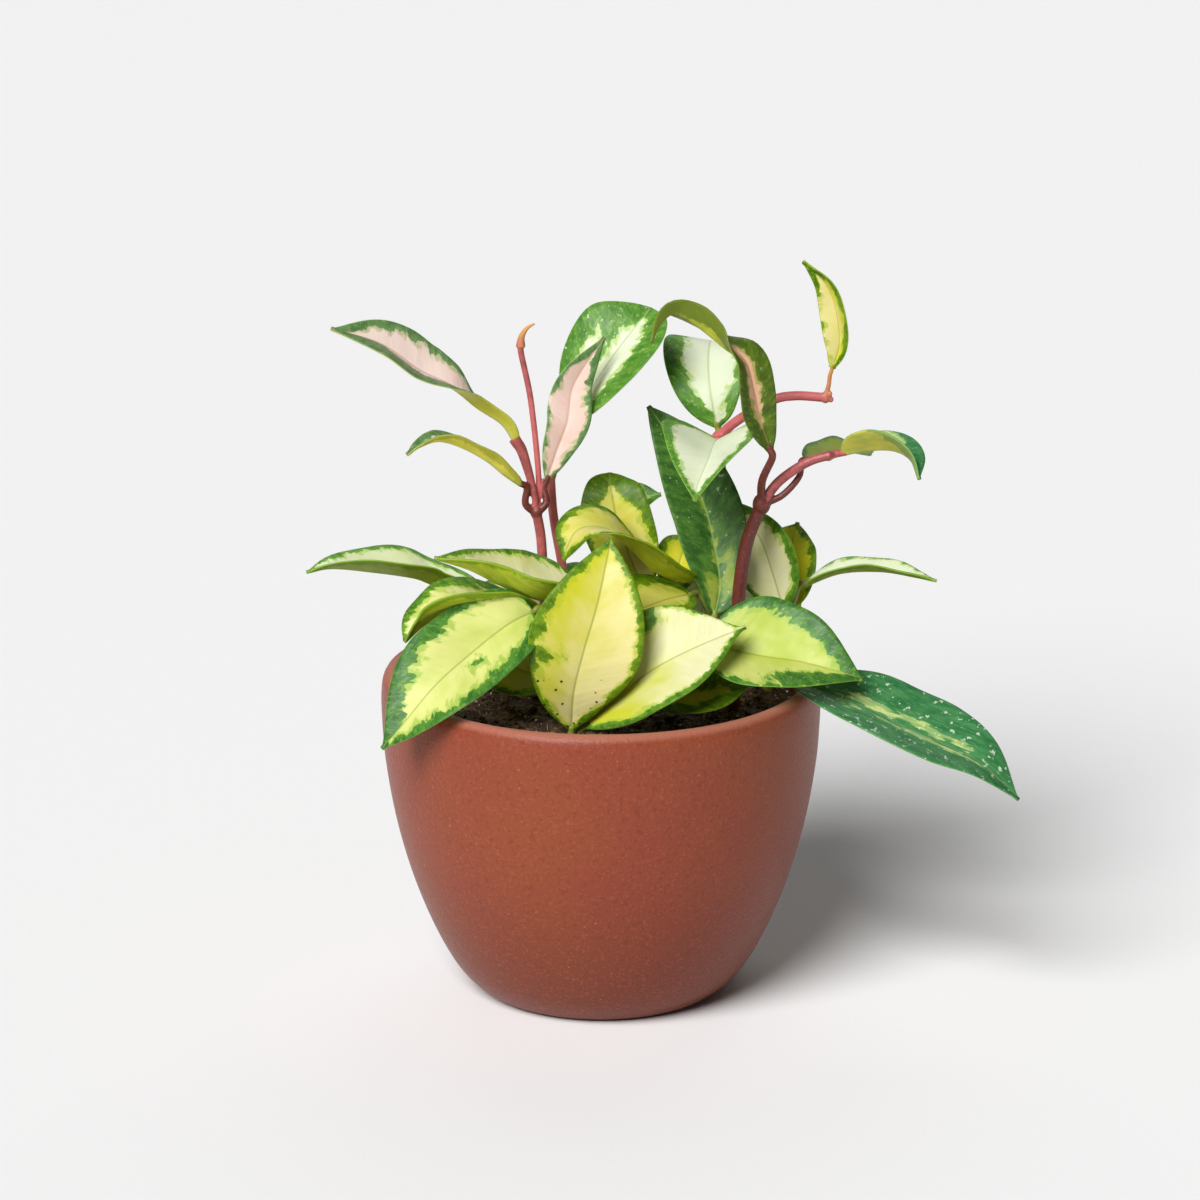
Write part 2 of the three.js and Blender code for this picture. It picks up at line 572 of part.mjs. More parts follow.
// Assembly

const plant = new THREE.Group();
plant.name = 'potted_krimson_princess_hoya';

function place(name, geometry, colour, roughness) {
  const mesh = new THREE.Mesh(geometry, new THREE.MeshStandardMaterial({ color: colour, roughness }));
  mesh.name = name;
  plant.add(mesh);
}

const pot = potGeometry();
pot.rotateX(Math.PI / 2);
place('pot', geometryOf(solid(pot)), CLAY, 0.6);
place('soil', soilGeometry(), COMPOST, 1);
for (const vine of VINES) place(vine.name, vineGeometry(vine), vine.colour, 0.5);
for (const leaf of LEAVES) place(leaf.name, geometryOf(solid(bladeGeometry(leaf))), leaf.colour, 0.4);

export default plant;
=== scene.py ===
import math
import random

import bmesh
import bpy
import numpy as np
from mathutils import Matrix, Vector, noise
from mathutils.kdtree import KDTree


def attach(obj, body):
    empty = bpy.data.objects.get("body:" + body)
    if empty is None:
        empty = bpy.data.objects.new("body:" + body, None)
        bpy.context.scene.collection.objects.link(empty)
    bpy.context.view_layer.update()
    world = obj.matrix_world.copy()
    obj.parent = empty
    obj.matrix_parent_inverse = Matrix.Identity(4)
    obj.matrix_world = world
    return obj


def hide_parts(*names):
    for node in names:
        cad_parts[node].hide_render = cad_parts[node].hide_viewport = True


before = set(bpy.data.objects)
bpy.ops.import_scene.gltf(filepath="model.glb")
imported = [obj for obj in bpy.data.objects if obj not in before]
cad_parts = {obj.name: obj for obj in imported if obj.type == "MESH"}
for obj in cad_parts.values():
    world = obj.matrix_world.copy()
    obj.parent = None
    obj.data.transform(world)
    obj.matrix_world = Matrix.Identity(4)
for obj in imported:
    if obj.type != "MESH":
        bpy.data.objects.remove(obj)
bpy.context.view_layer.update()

# Studio
# A pale matt floor runs out of sight. A broad soft lamp hangs high at the front left, a weak one
# lights the back, and the camera stands a metre and a half away, looking down a little.

MM = 0.001


def node(tree, kind, sockets=None, **settings):
    """One shader node with its settings and sockets filled in, given back as its first output."""
    made = tree.nodes.new("ShaderNode" + kind)
    for name, value in settings.items():
        setattr(made, name, value)
    for name, value in (sockets or {}).items():
        if isinstance(value, bpy.types.NodeSocket):
            tree.links.new(value, made.inputs[name])
        else:
            made.inputs[name].default_value = value
    return made.outputs[0]


def new_finish(name):
    """An empty finish: the material, its node tree, its shader and the place on the object."""
    material = bpy.data.materials.new(name)
    material.use_nodes = True
    tree = material.node_tree
    shader = tree.nodes["Principled BSDF"]
    place = node(tree, "TexCoord").node.outputs["Object"]
    return material, tree, shader, place


floor_reach = 7.0
floor_below_pot = 0.2 * MM
corners = [(-1, -1), (1, -1), (1, 1), (-1, 1)]
floor_mesh = bpy.data.meshes.new("floor")
floor_mesh.from_pydata([(x * floor_reach, y * floor_reach, 0) for x, y in corners], [], [(0, 1, 2, 3)])
floor = bpy.data.objects.new("floor", floor_mesh)
floor.location.z = -floor_below_pot
bpy.context.collection.objects.link(floor)
matt_white, tree, shader, place = new_finish("matt white floor")
shader.inputs["Base Color"].default_value = (0.9, 0.9, 0.9, 1)
shader.inputs["Roughness"].default_value = 0.9
shader.inputs["Specular IOR Level"].default_value = 0.1
floor_mesh.materials.append(matt_white)


def soft_lamp(name, aside, above, strength, breadth):
    """A broad far lamp: degrees aside (right is plus) and above, seen from the plant's front."""
    lamp_data = bpy.data.lights.new(name, "SUN")
    lamp_data.energy = strength
    lamp_data.angle = math.radians(breadth)
    lamp = bpy.data.objects.new(name, lamp_data)
    aside, above = math.radians(aside), math.radians(above)
    lamp.location = (math.sin(aside) * math.cos(above), -math.cos(aside) * math.cos(above), math.sin(above))
    lamp.rotation_euler = (-lamp.location).to_track_quat("-Z", "Y").to_euler()
    bpy.context.collection.objects.link(lamp)


soft_lamp("main lamp", aside=-28, above=41, strength=4.0, breadth=32)
soft_lamp("back lamp", aside=175, above=38, strength=0.5, breadth=60)

room = bpy.context.scene.world or bpy.data.worlds.new("room")
bpy.context.scene.world = room
room.use_nodes = True
room.node_tree.nodes["Background"].inputs["Color"].default_value = (1.0, 1.0, 1.0, 1)
room.node_tree.nodes["Background"].inputs["Strength"].default_value = 0.06
bpy.context.scene.view_settings.view_transform = "Standard"

camera_stand = Vector((-0.0003, -1.5, 0.563))
looked_at = Vector((-0.0003, 0, 0.119))
camera_data = bpy.data.cameras.new("camera")
camera_data.sensor_width = 36
camera_data.lens = 159.2
camera = bpy.data.objects.new("camera", camera_data)
camera.location = camera_stand
camera.rotation_euler = (looked_at - camera.location).to_track_quat("-Z", "Y").to_euler()
bpy.context.collection.objects.link(camera)
bpy.context.scene.camera = camera

# Planter
# A round tapering pot, pressed in red-brown clay with a rolled rim and fired unglazed. The skin is
# matt with a faint sheen, a fine orange-peel grain and tiny light flecks.

rolled_outside = [(33, 0), (37.4, 1.6), (44.2, 9), (51, 22), (57, 38), (61.4, 55), (64.1, 72),
                  (65, 86), (64.95, 92.4), (64.4, 95.6), (63.3, 96.9), (61.6, 97.3)]
rolled_inside = [(60.9, 97.0), (60.5, 96.5), (60.2, 95.4), (60, 94)]
wall = 4.8
pot_floor = 6
steps_between_knots = 60


def smooth_run(points, count, ends="straight"):
    """Even steps along a smooth run through points: the places, the ways ahead and the length."""
    knots = np.array(points, float)
    if ends == "straight":
        first, last = 2 * knots[0] - knots[1], 2 * knots[-1] - knots[-2]
    else:
        first, last = knots[0], knots[-1]
    knots = np.vstack([first, knots, last])
    t = np.linspace(0, 1, steps_between_knots, endpoint=False)[:, None]
    fine = []
    for k in range(1, len(knots) - 2):
        a, b, c, d = knots[k - 1:k + 3]
        fine.append(0.5 * (2 * b + (c - a) * t + (2 * a - 5 * b + 4 * c - d) * t ** 2
                           + (3 * b - a - 3 * c + d) * t ** 3))
    fine = np.vstack(fine + [knots[-2][None]])
    gone = np.concatenate([[0], np.cumsum(np.linalg.norm(np.diff(fine, axis=0), axis=1))])
    even = np.linspace(0, gone[-1], count)
    places = np.stack([np.interp(even, gone, fine[:, k]) for k in range(knots.shape[1])], axis=1)
    ways = np.gradient(places, axis=0)
    ways /= np.linalg.norm(ways, axis=1)[:, None]
    return places, ways, gone[-1]


def inside_radius(height):
    """The radius of the pot's inner wall at a height."""
    return float(np.interp(height, outside[:, 1], outside[:, 0])) - wall


def turned(outline, sides):
    """A body turned round the upright axis from an outline of radius and height in millimetres."""
    outline = np.array(outline, float)
    angle = np.linspace(0, 2 * math.pi, sides, endpoint=False)
    rings = np.stack([outline[1:-1, 0, None] * np.cos(angle), outline[1:-1, 0, None] * np.sin(angle),
                      np.repeat(outline[1:-1, 1, None], sides, axis=1)], axis=2)
    points = np.vstack([rings.reshape(-1, 3), [[0, 0, outline[0, 1]], [0, 0, outline[-1, 1]]]])
    count = len(rings)
    low, high = count * sides, count * sides + 1
    faces = []
    for i in range(count - 1):
        for j in range(sides):
            k = (j + 1) % sides
            faces.append((i * sides + j, i * sides + k, (i + 1) * sides + k, (i + 1) * sides + j))
    for j in range(sides):
        k = (j + 1) % sides
        faces.append((low, k, j))
        faces.append((high, (count - 1) * sides + j, (count - 1) * sides + k))
    return points, faces


def new_piece(name, points, faces, material, slot, nodes):
    """A named smooth piece from points in millimetres, riding with the CAD nodes it stands for."""
    mesh = bpy.data.meshes.new(name)
    mesh.from_pydata((np.asarray(points) * MM).tolist(), [], faces)
    mesh.polygons.foreach_set("use_smooth", [True] * len(mesh.polygons))
    mesh.materials.append(material)
    piece = bpy.data.objects.new(name, mesh)
    bpy.context.collection.objects.link(piece)
    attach(piece, "root")
    if nodes:
        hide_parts(*nodes)
    return piece


def paint(red, green, blue):
    """A colour given on a 0 to 255 scale, as the renderer wants it."""
    parts = [part / 255 for part in (red, green, blue)]
    return tuple(p / 12.92 if p <= 0.04045 else ((p + 0.055) / 1.055) ** 2.4 for p in parts) + (1.0,)


def sums(tree, operation, first, second=0.0):
    return node(tree, "Math", {0: first, 1: second}, operation=operation)


def plus(tree, first, second):
    return sums(tree, "ADD", first, second)


def times(tree, first, second):
    return sums(tree, "MULTIPLY", first, second)


def spread(tree, value, low, high, start=0.0, end=1.0):
    """Value carried smoothly from low..high over to start..end."""
    sockets = {"Value": value, "From Min": low, "From Max": high, "To Min": start, "To Max": end}
    return node(tree, "MapRange", sockets, interpolation_type="SMOOTHSTEP")


def mixed(tree, amount, under, over):
    """The colour over laid on the colour under by the amount."""
    made = node(tree, "Mix", {0: amount, 6: under, 7: over}, data_type="RGBA").node
    return made.outputs[2]


def grain(tree, place, scale, detail=2.0, roughness=0.5):
    sockets = {"Vector": place, "Scale": scale, "Detail": detail, "Roughness": roughness}
    return node(tree, "TexNoise", sockets)


def split(tree, vector):
    """The three parts of a vector or a colour."""
    return node(tree, "SeparateXYZ", {0: vector}).node.outputs


def cells(tree, place, scale):
    """Scattered dots: how far each point lies from the nearest, and that dot's own lot from 0 to 1."""
    made = node(tree, "TexVoronoi", {"Vector": place, "Scale": scale}).node
    return made.outputs["Distance"], split(tree, made.outputs["Color"])[0]


def coat(tree, shader, colour, height=None, strength=0.0, depth=0.0):
    """The colour of a finish and its fine relief, depth in millimetres, joined to the shader."""
    tree.links.new(colour, shader.inputs["Base Color"])
    if height is not None:
        bump = node(tree, "Bump", {"Strength": strength, "Distance": depth * MM, "Height": height})
        tree.links.new(bump, shader.inputs["Normal"])


clay, tree, shader, place = new_finish("unglazed red clay")
height = split(tree, place)[2]
firing = grain(tree, place, 17)
speckle = grain(tree, place, 620, 3, 0.6)
peel_grain_and_glints = grain(tree, place, 1000, 2, 0.6)
ground = mixed(tree, spread(tree, firing, 0.36, 0.64), paint(140, 70, 44), paint(138, 64, 46))
# Painted shade: the clay is painted darker towards the foot, where the wall turns down away from the lamp.
foot_painted_shade = spread(tree, height, 0, 62 * MM, 0.7, 0.0)
ground = mixed(tree, foot_painted_shade, ground, paint(106, 52, 36))
# Painted glints: the clay is painted lighter on the high points of the peel grain, standing in for tiny
# highlights on the bumps.
ground = mixed(tree, spread(tree, peel_grain_and_glints, 0.52, 0.72, 0.0, 0.4), ground, paint(166, 92, 66))
ground = mixed(tree, spread(tree, speckle, 0.28, 0.5, 0.4, 0.0), ground, paint(104, 48, 34))
apart, lot = cells(tree, place, 640.0)
light_fleck = times(tree, spread(tree, apart, 0.08, 0.26, 0.35, 0.0), sums(tree, "GREATER_THAN", lot, 0.95))
ground = mixed(tree, light_fleck, ground, paint(204, 140, 112))
# Painted highlight: a lighter band along the top of the rolled rim, where the lamp's sheen catches the lip.
rim_painted_highlight = spread(tree, height, 95 * MM, 97.1 * MM, 0.0, 0.65)
ground = mixed(tree, rim_painted_highlight, ground, paint(186, 122, 102))
coat(tree, shader, ground, peel_grain_and_glints, 0.7, 0.3)
tree.links.new(spread(tree, speckle, 0.2, 0.8, 0.33, 0.46), shader.inputs["Roughness"])
shader.inputs["Specular IOR Level"].default_value = 0.2

outside, _, _ = smooth_run(rolled_outside, 90, ends="held")
pot_outline = [(0, 0)] + outside.tolist() + rolled_inside
pot_outline += [(inside_radius(level), level) for level in np.linspace(90, 12, 26)]
pot_outline += [(inside_radius(10) - 3, pot_floor + 1.4), (30, pot_floor), (0, pot_floor)]
new_piece("planter", *turned(pot_outline, 160), clay, "terracotta", ["pot"])

# Compost
# Dark peat compost fills the planter to a centimetre under the rim. Crumbs, bark chips, white
# perlite and fine fibres lie loose on its uneven top.

soil_level = 87


def soil_top(x, y):
    swell = 0.9 * math.sin(0.21 * x + 0.8) * math.cos(0.18 * y)
    ripple = 0.5 * math.sin(0.37 * y + 0.11 * x)
    lumps = 0.9 * noise.noise(Vector((x, y, 3)) * 0.33) + 0.5 * noise.noise(Vector((x, y, 9)) * 0.9)
    return soil_level + swell + ripple + lumps


compost, tree, shader, place = new_finish("damp peat compost")
damp = grain(tree, place, 130, 4, 0.65)
fine = grain(tree, place, 1100, 3, 0.6)
ground = mixed(tree, spread(tree, damp, 0.38, 0.72), paint(50, 38, 26), paint(116, 90, 62))
ground = mixed(tree, spread(tree, fine, 0.54, 0.7), ground, paint(164, 134, 98))
coat(tree, shader, ground, plus(tree, damp, fine), 0.8, 0.5)
tree.links.new(spread(tree, fine, 0.3, 0.7, 0.7, 0.95), shader.inputs["Roughness"])
shader.inputs["Specular IOR Level"].default_value = 0.3

soil_outline = [(0, pot_floor + 0.3), (30, pot_floor + 0.3), (inside_radius(10) - 3.6, pot_floor + 2)]
soil_outline += [(inside_radius(level) - 0.45, level) for level in (14, 24, 38, 55, 72, 80, 85)]
soil_outline += [(radius, soil_level) for radius in np.linspace(59.2, 1.2, 68)]
soil_outline.append((0, soil_level))
soil_points, soil_faces = turned(soil_outline, 200)
for point in soil_points:
    if point[2] > soil_level - 0.5:
        point[2] = soil_top(point[0], point[1])
new_piece("compost", soil_points, soil_faces, compost, "compost", ["soil"])


def soil_spot(draw, reach=57.0):
    """A place on top of the compost, drawn evenly over the round."""
    radius = reach * math.sqrt(draw.random())
    angle = draw.uniform(0, 2 * math.pi)
    return radius * math.cos(angle), radius * math.sin(angle)


def scattered(name, material, count, small, large, flat, rough, sink, seed, detail=1):
    """Loose lumps, each a broken pebble shape, pressed lightly into the top of the compost."""
    draw = random.Random(seed)
    pebble = bmesh.new()
    bmesh.ops.create_icosphere(pebble, subdivisions=detail, radius=1)
    ball = [vertex.co.copy() for vertex in pebble.verts]
    sides = [[vertex.index for vertex in face.verts] for face in pebble.faces]
    pebble.free()
    points, faces = [], []
    for k in range(count):
        x, y = soil_spot(draw)
        size = small + (large - small) * draw.random() ** 3
        shape = Vector((draw.uniform(0.6, 1.2), draw.uniform(0.6, 1.2), draw.uniform(0.6, 1.0) * flat))
        spin = Matrix.Rotation(draw.uniform(0, 6.28), 3, "Z")
        turn = spin @ Matrix.Rotation(draw.uniform(-0.6, 0.6), 3, "X")
        start = len(points)
        for spot in ball:
            bulge = 1 + rough * noise.noise(spot * 1.6 + Vector((k, seed, 0)))
            lump = turn @ Vector((spot.x * shape.x, spot.y * shape.y, spot.z * shape.z)) * (size * bulge)
            points.append((x + lump.x, y + lump.y, soil_top(x, y) + lump.z + size * flat * sink))
        faces += [[start + corner for corner in side] for side in sides]
    new_piece(name, points, faces, material, "compost", [])


scattered("compost_crumbs", compost, 1500, small=0.35, large=1.7, flat=0.8, rough=0.8, sink=0.1, seed=4)

bark, tree, shader, place = new_finish("pale bark chips")
fibre = grain(tree, place, 700, 3, 0.7)
chip_tone = grain(tree, place, 60, 1)
ground = mixed(tree, spread(tree, fibre, 0.35, 0.7), paint(88, 62, 44), paint(150, 118, 88))
ground = mixed(tree, spread(tree, chip_tone, 0.4, 0.65), ground, paint(70, 50, 40))
coat(tree, shader, ground, fibre, 0.7, 0.3)
shader.inputs["Roughness"].default_value = 0.85
scattered("bark_chips", bark, 130, small=0.6, large=2.4, flat=0.28, rough=0.9, sink=1.4, seed=8)

perlite, tree, shader, place = new_finish("white perlite")
pores = grain(tree, place, 1500, 3, 0.7)
ground = mixed(tree, spread(tree, pores, 0.4, 0.75), paint(236, 233, 226), paint(190, 180, 168))
coat(tree, shader, ground, pores, 0.8, 0.3)
shader.inputs["Roughness"].default_value = 0.9
scattered("perlite", perlite, 240, small=0.18, large=0.85, flat=0.85, rough=0.9, sink=0.5, seed=15,
          detail=2)


def tube(places, radii, sides):
    """A closed round tube, with points in millimetres and a radius at each place."""
    places = np.array(places, float)
    ways = np.gradient(places, axis=0)
    ways /= np.linalg.norm(ways, axis=1)[:, None]
    side = np.cross(ways[0], (0.3, 0.5, 0.81))
    angle = np.linspace(0, 2 * math.pi, sides, endpoint=False)[:, None]
    rings = []
    for place, way, radius in zip(places, ways, radii):
        side = side - way * side.dot(way)
        side /= np.linalg.norm(side)
        other = np.cross(way, side)
        rings.append(place + radius * (np.cos(angle) * side + np.sin(angle) * other))
    faces = []
    for i in range(len(rings) - 1):
        for j in range(sides):
            k = (j + 1) % sides
            faces.append((i * sides + j, i * sides + k, (i + 1) * sides + k, (i + 1) * sides + j))
    faces.append(tuple(range(sides - 1, -1, -1)))
    last = (len(rings) - 1) * sides
    faces.append(tuple(range(last, last + sides)))
    return np.vstack(rings), faces


fibre_skin, tree, shader, place = new_finish("dry root fibre")
tone = grain(tree, place, 160, 1)
coat(tree, shader, mixed(tree, spread(tree, tone, 0.35, 0.65), paint(92, 66, 46), paint(168, 138, 104)))
shader.inputs["Roughness"].default_value = 0.8
strands = 90
fibre_steps = 7
fibre_draw = random.Random(21)
fibre_points, fibre_faces = [], []
for _ in range(strands):
    x, y = soil_spot(fibre_draw, reach=54)
    heading = fibre_draw.uniform(0, 2 * math.pi)
    bend = fibre_draw.uniform(-0.25, 0.25)
    step = fibre_draw.uniform(0.4, 1.1)
    lift = fibre_draw.uniform(0.1, 0.9)
    run = []
    for part in range(fibre_steps):
        run.append((x, y, soil_top(x, y) + 0.3 + lift * math.sin(math.pi * part / (fibre_steps - 1))))
        heading += bend
        x += step * math.cos(heading)
        y += step * math.sin(heading)
    radius = fibre_draw.uniform(0.07, 0.16)
    strand_points, strand_faces = tube(run, [radius] * 5 + [radius * 0.8, radius * 0.4], 5)
    start = sum(len(part) for part in fibre_points)
    fibre_points.append(strand_points)
    fibre_faces += [[start + corner for corner in face] for face in strand_faces]
new_piece("root_fibres", np.vstack(fibre_points), fibre_faces, fibre_skin, "compost", [])

# Front stem and its two leaves
# The shortest stem barely clears the compost at the front and holds the two broad leaves that face
# the room. Leaves are thick, folded along the rib, and stems are fleshy with swollen joints.

# How finely a blade is made and how its section is shaped, lengths in millimetres
stations = 57
columns = 25
neck_half, needle_half = 1.0, 0.5
blade_half, thin_edge, full_rib = 0.5, 0.58, 0.42
soft_crease = 0.012
groove_deep, groove_wide = 0.22, 0.55
keel_deep, keel_wide = 0.5, 0.8
round_edge = 0.28
vein_slant = 0.55
soiled_share = 0.36
apart_in_grain = 37.0


def half_width(s, half, wide, foot, point):
    """Half the width along a leaf, from the neck at 0 to the drawn-out tip at 1."""
    low = np.clip((wide - s) / wide, 0, 1)
    high = np.clip((s - wide) / (1 - wide), 0, 1)
    rising = np.maximum(neck_half, half * (1 - low ** foot[0]) ** foot[1])
    falling = np.maximum(needle_half, half * (1 - high ** point[0]) ** point[1])
    return np.where(s < wide, rising, falling)


def carried(tree, label):
    """The three values that each point of a mesh carries under a label."""
    return split(tree, node(tree, "Attribute", attribute_name=label).node.outputs["Vector"])


def leaf_skin(name, pale, glow, green, deep, lime, under, under_green, rib):
    """A living leaf skin in eight paints. Values on the blade drive it: how far a point lies inside
    the green margin, in millimetres, and how much of the warmer centre colour it takes."""
    pale, glow, green, deep, lime, under, under_green, rib = [
        paint(*mix) for mix in (pale, glow, green, deep, lime, under, under_green, rib)]
    material, tree, shader, place = new_finish(name)
    along, off_rib, face_side = carried(tree, "blade")
    inset, warmth, flecks = carried(tree, "look")

    def streaks(length, breadth, shift, detail):
        """Soft noise around 0, drawn out along the veins."""
        stretched = node(tree, "CombineXYZ", {0: times(tree, along, length),
                                              1: times(tree, off_rib, breadth), 2: shift})
        return sums(tree, "SUBTRACT", grain(tree, stretched, 1.0, detail), 0.5)

    # A ragged border parts the green margin from the centre, with a wash of lime inside it
    broad = times(tree, streaks(0.24, 0.14, 2.0, 1.0), 7.0)
    teeth = times(tree, streaks(0.7, 0.5, 6.0, 2.0), 4.0)
    border = plus(tree, inset, plus(tree, broad, teeth))
    in_green = spread(tree, border, -0.18, 0.18, 1.0, 0.0)
    wash = times(tree, streaks(0.34, 0.22, 11.0, 3.0), 9.0)
    in_lime = spread(tree, plus(tree, sums(tree, "SUBTRACT", border, 1.1), wash), -0.8, 1.0, 1.0, 0.0)

    warm = plus(tree, warmth, times(tree, streaks(0.1, 0.1, 17.0, 2.0), 1.1))
    centre = mixed(tree, spread(tree, warm, 0.0, 1.0), pale, glow)
    thin_streak = spread(tree, streaks(1.2, 0.14, 23.0, 3.0), -0.1, 0.4)
    centre = mixed(tree, times(tree, thin_streak, 0.12), centre, lime)
    centre = mixed(tree, times(tree, in_lime, 0.75), centre, lime)
    blotches = times(tree, streaks(0.42, 0.2, 31.0, 3.0), 8.0)
    depth = plus(tree, blotches, sums(tree, "MAXIMUM", border, -2.2))
    greens = mixed(tree, spread(tree, depth, -3.6, 0.2, 1.0, 0.0), green, deep)
    greens = mixed(tree, spread(tree, streaks(1.0, 0.8, 61.0, 3.0), 0.0, 0.22, 0.0, 0.4), greens, lime)
    upper = mixed(tree, in_green, centre, greens)
    near_rib = spread(tree, sums(tree, "ABSOLUTE", off_rib), 0.1, 0.5, 1.0, 0.0)
    upper = mixed(tree, times(tree, near_rib, 0.6), upper, rib)

    # Silver splashes where flecks is above nothing, specks of dirt where it is below
    splash = plus(tree, grain(tree, place, 560, 2, 0.6), times(tree, flecks, 0.2))
    bright = spread(tree, flecks, 0.0, 0.3, 0.15, 0.65)
    upper = mixed(tree, times(tree, spread(tree, splash, 0.71, 0.75), bright), upper, paint(216, 232, 208))
    apart, lot = cells(tree, place, 600.0)
    soiled = sums(tree, "LESS_THAN", lot, times(tree, flecks, -1.0))
    speck = spread(tree, apart, 0.12, 0.36, 1.0, 0.0)
    upper = mixed(tree, times(tree, soiled, speck), upper, paint(48, 34, 18))

    soft_border = spread(tree, border, -0.8, 1.0, 1.0, 0.0)
    tinge = spread(tree, streaks(0.2, 0.5, 41.0, 3.0), -0.25, 0.3)
    back = mixed(tree, times(tree, tinge, 0.5), under, under_green)
    back = mixed(tree, times(tree, soft_border, 0.8), back, under_green)
    back = mixed(tree, times(tree, near_rib, 0.4), back, lime)
    # Where the two faces meet, the thin rolled edge is painted a lighter green: a painted highlight along
    # the edge.
    skin = mixed(tree, spread(tree, face_side, -0.5, -0.1), back, mixed(tree, 0.5, green, lime))
    skin = mixed(tree, spread(tree, face_side, 0.1, 0.5), skin, upper)

    veins = times(tree, streaks(0.3, 0.05, 51.0, 1.0), 1.3)
    relief = plus(tree, veins, times(tree, grain(tree, place, 1300), 0.12))
    relief = plus(tree, relief, times(tree, in_green, 0.08))
    coat(tree, shader, skin, relief, 0.4, 0.5)
    wax = spread(tree, grain(tree, place, 240), 0.3, 0.7, 0.36, 0.5)
    tree.links.new(wax, shader.inputs["Roughness"])
    shader.inputs["Specular IOR Level"].default_value = 0.22
    shader.inputs["Subsurface Weight"].default_value = 0.5
    shader.inputs["Subsurface Radius"].default_value = (0.9, 1.0, 0.3)
    shader.inputs["Subsurface Scale"].default_value = 1.3 * MM
    return material


def wrapped(top, bottom, left, right):
    """A closed skin over the upper and lower face of a blade and its two edge lines."""
    loop = np.concatenate([top, right[:, None], bottom[:, ::-1], left[:, None]], axis=1)
    around = loop.shape[1]
    index = np.arange(stations * around).reshape(stations, around)
    ahead = np.roll(index, -1, axis=1)
    faces = np.stack([index[:-1], ahead[:-1], ahead[1:], index[1:]], axis=2).reshape(-1, 4).tolist()
    for row in (index[0], index[-1]):
        for j in range(columns - 1):
            faces.append([row[j], row[j + 1], row[2 * columns - 1 - j], row[2 * columns - j]])
        faces.append([row[columns - 1], row[columns], row[columns + 1]])
        faces.append([row[0], row[2 * columns], row[2 * columns + 1]])
    return loop.reshape(-1, 3), faces


def carry(piece, label, parts):
    """Three values for each point of a piece, kept on its mesh under a label."""
    values = np.stack(parts, axis=-1).astype(np.float32)
    layer = piece.data.attributes.new(label, "FLOAT_VECTOR", "POINT")
    layer.data.foreach_set("vector", values.ravel())


blade_feet = {}


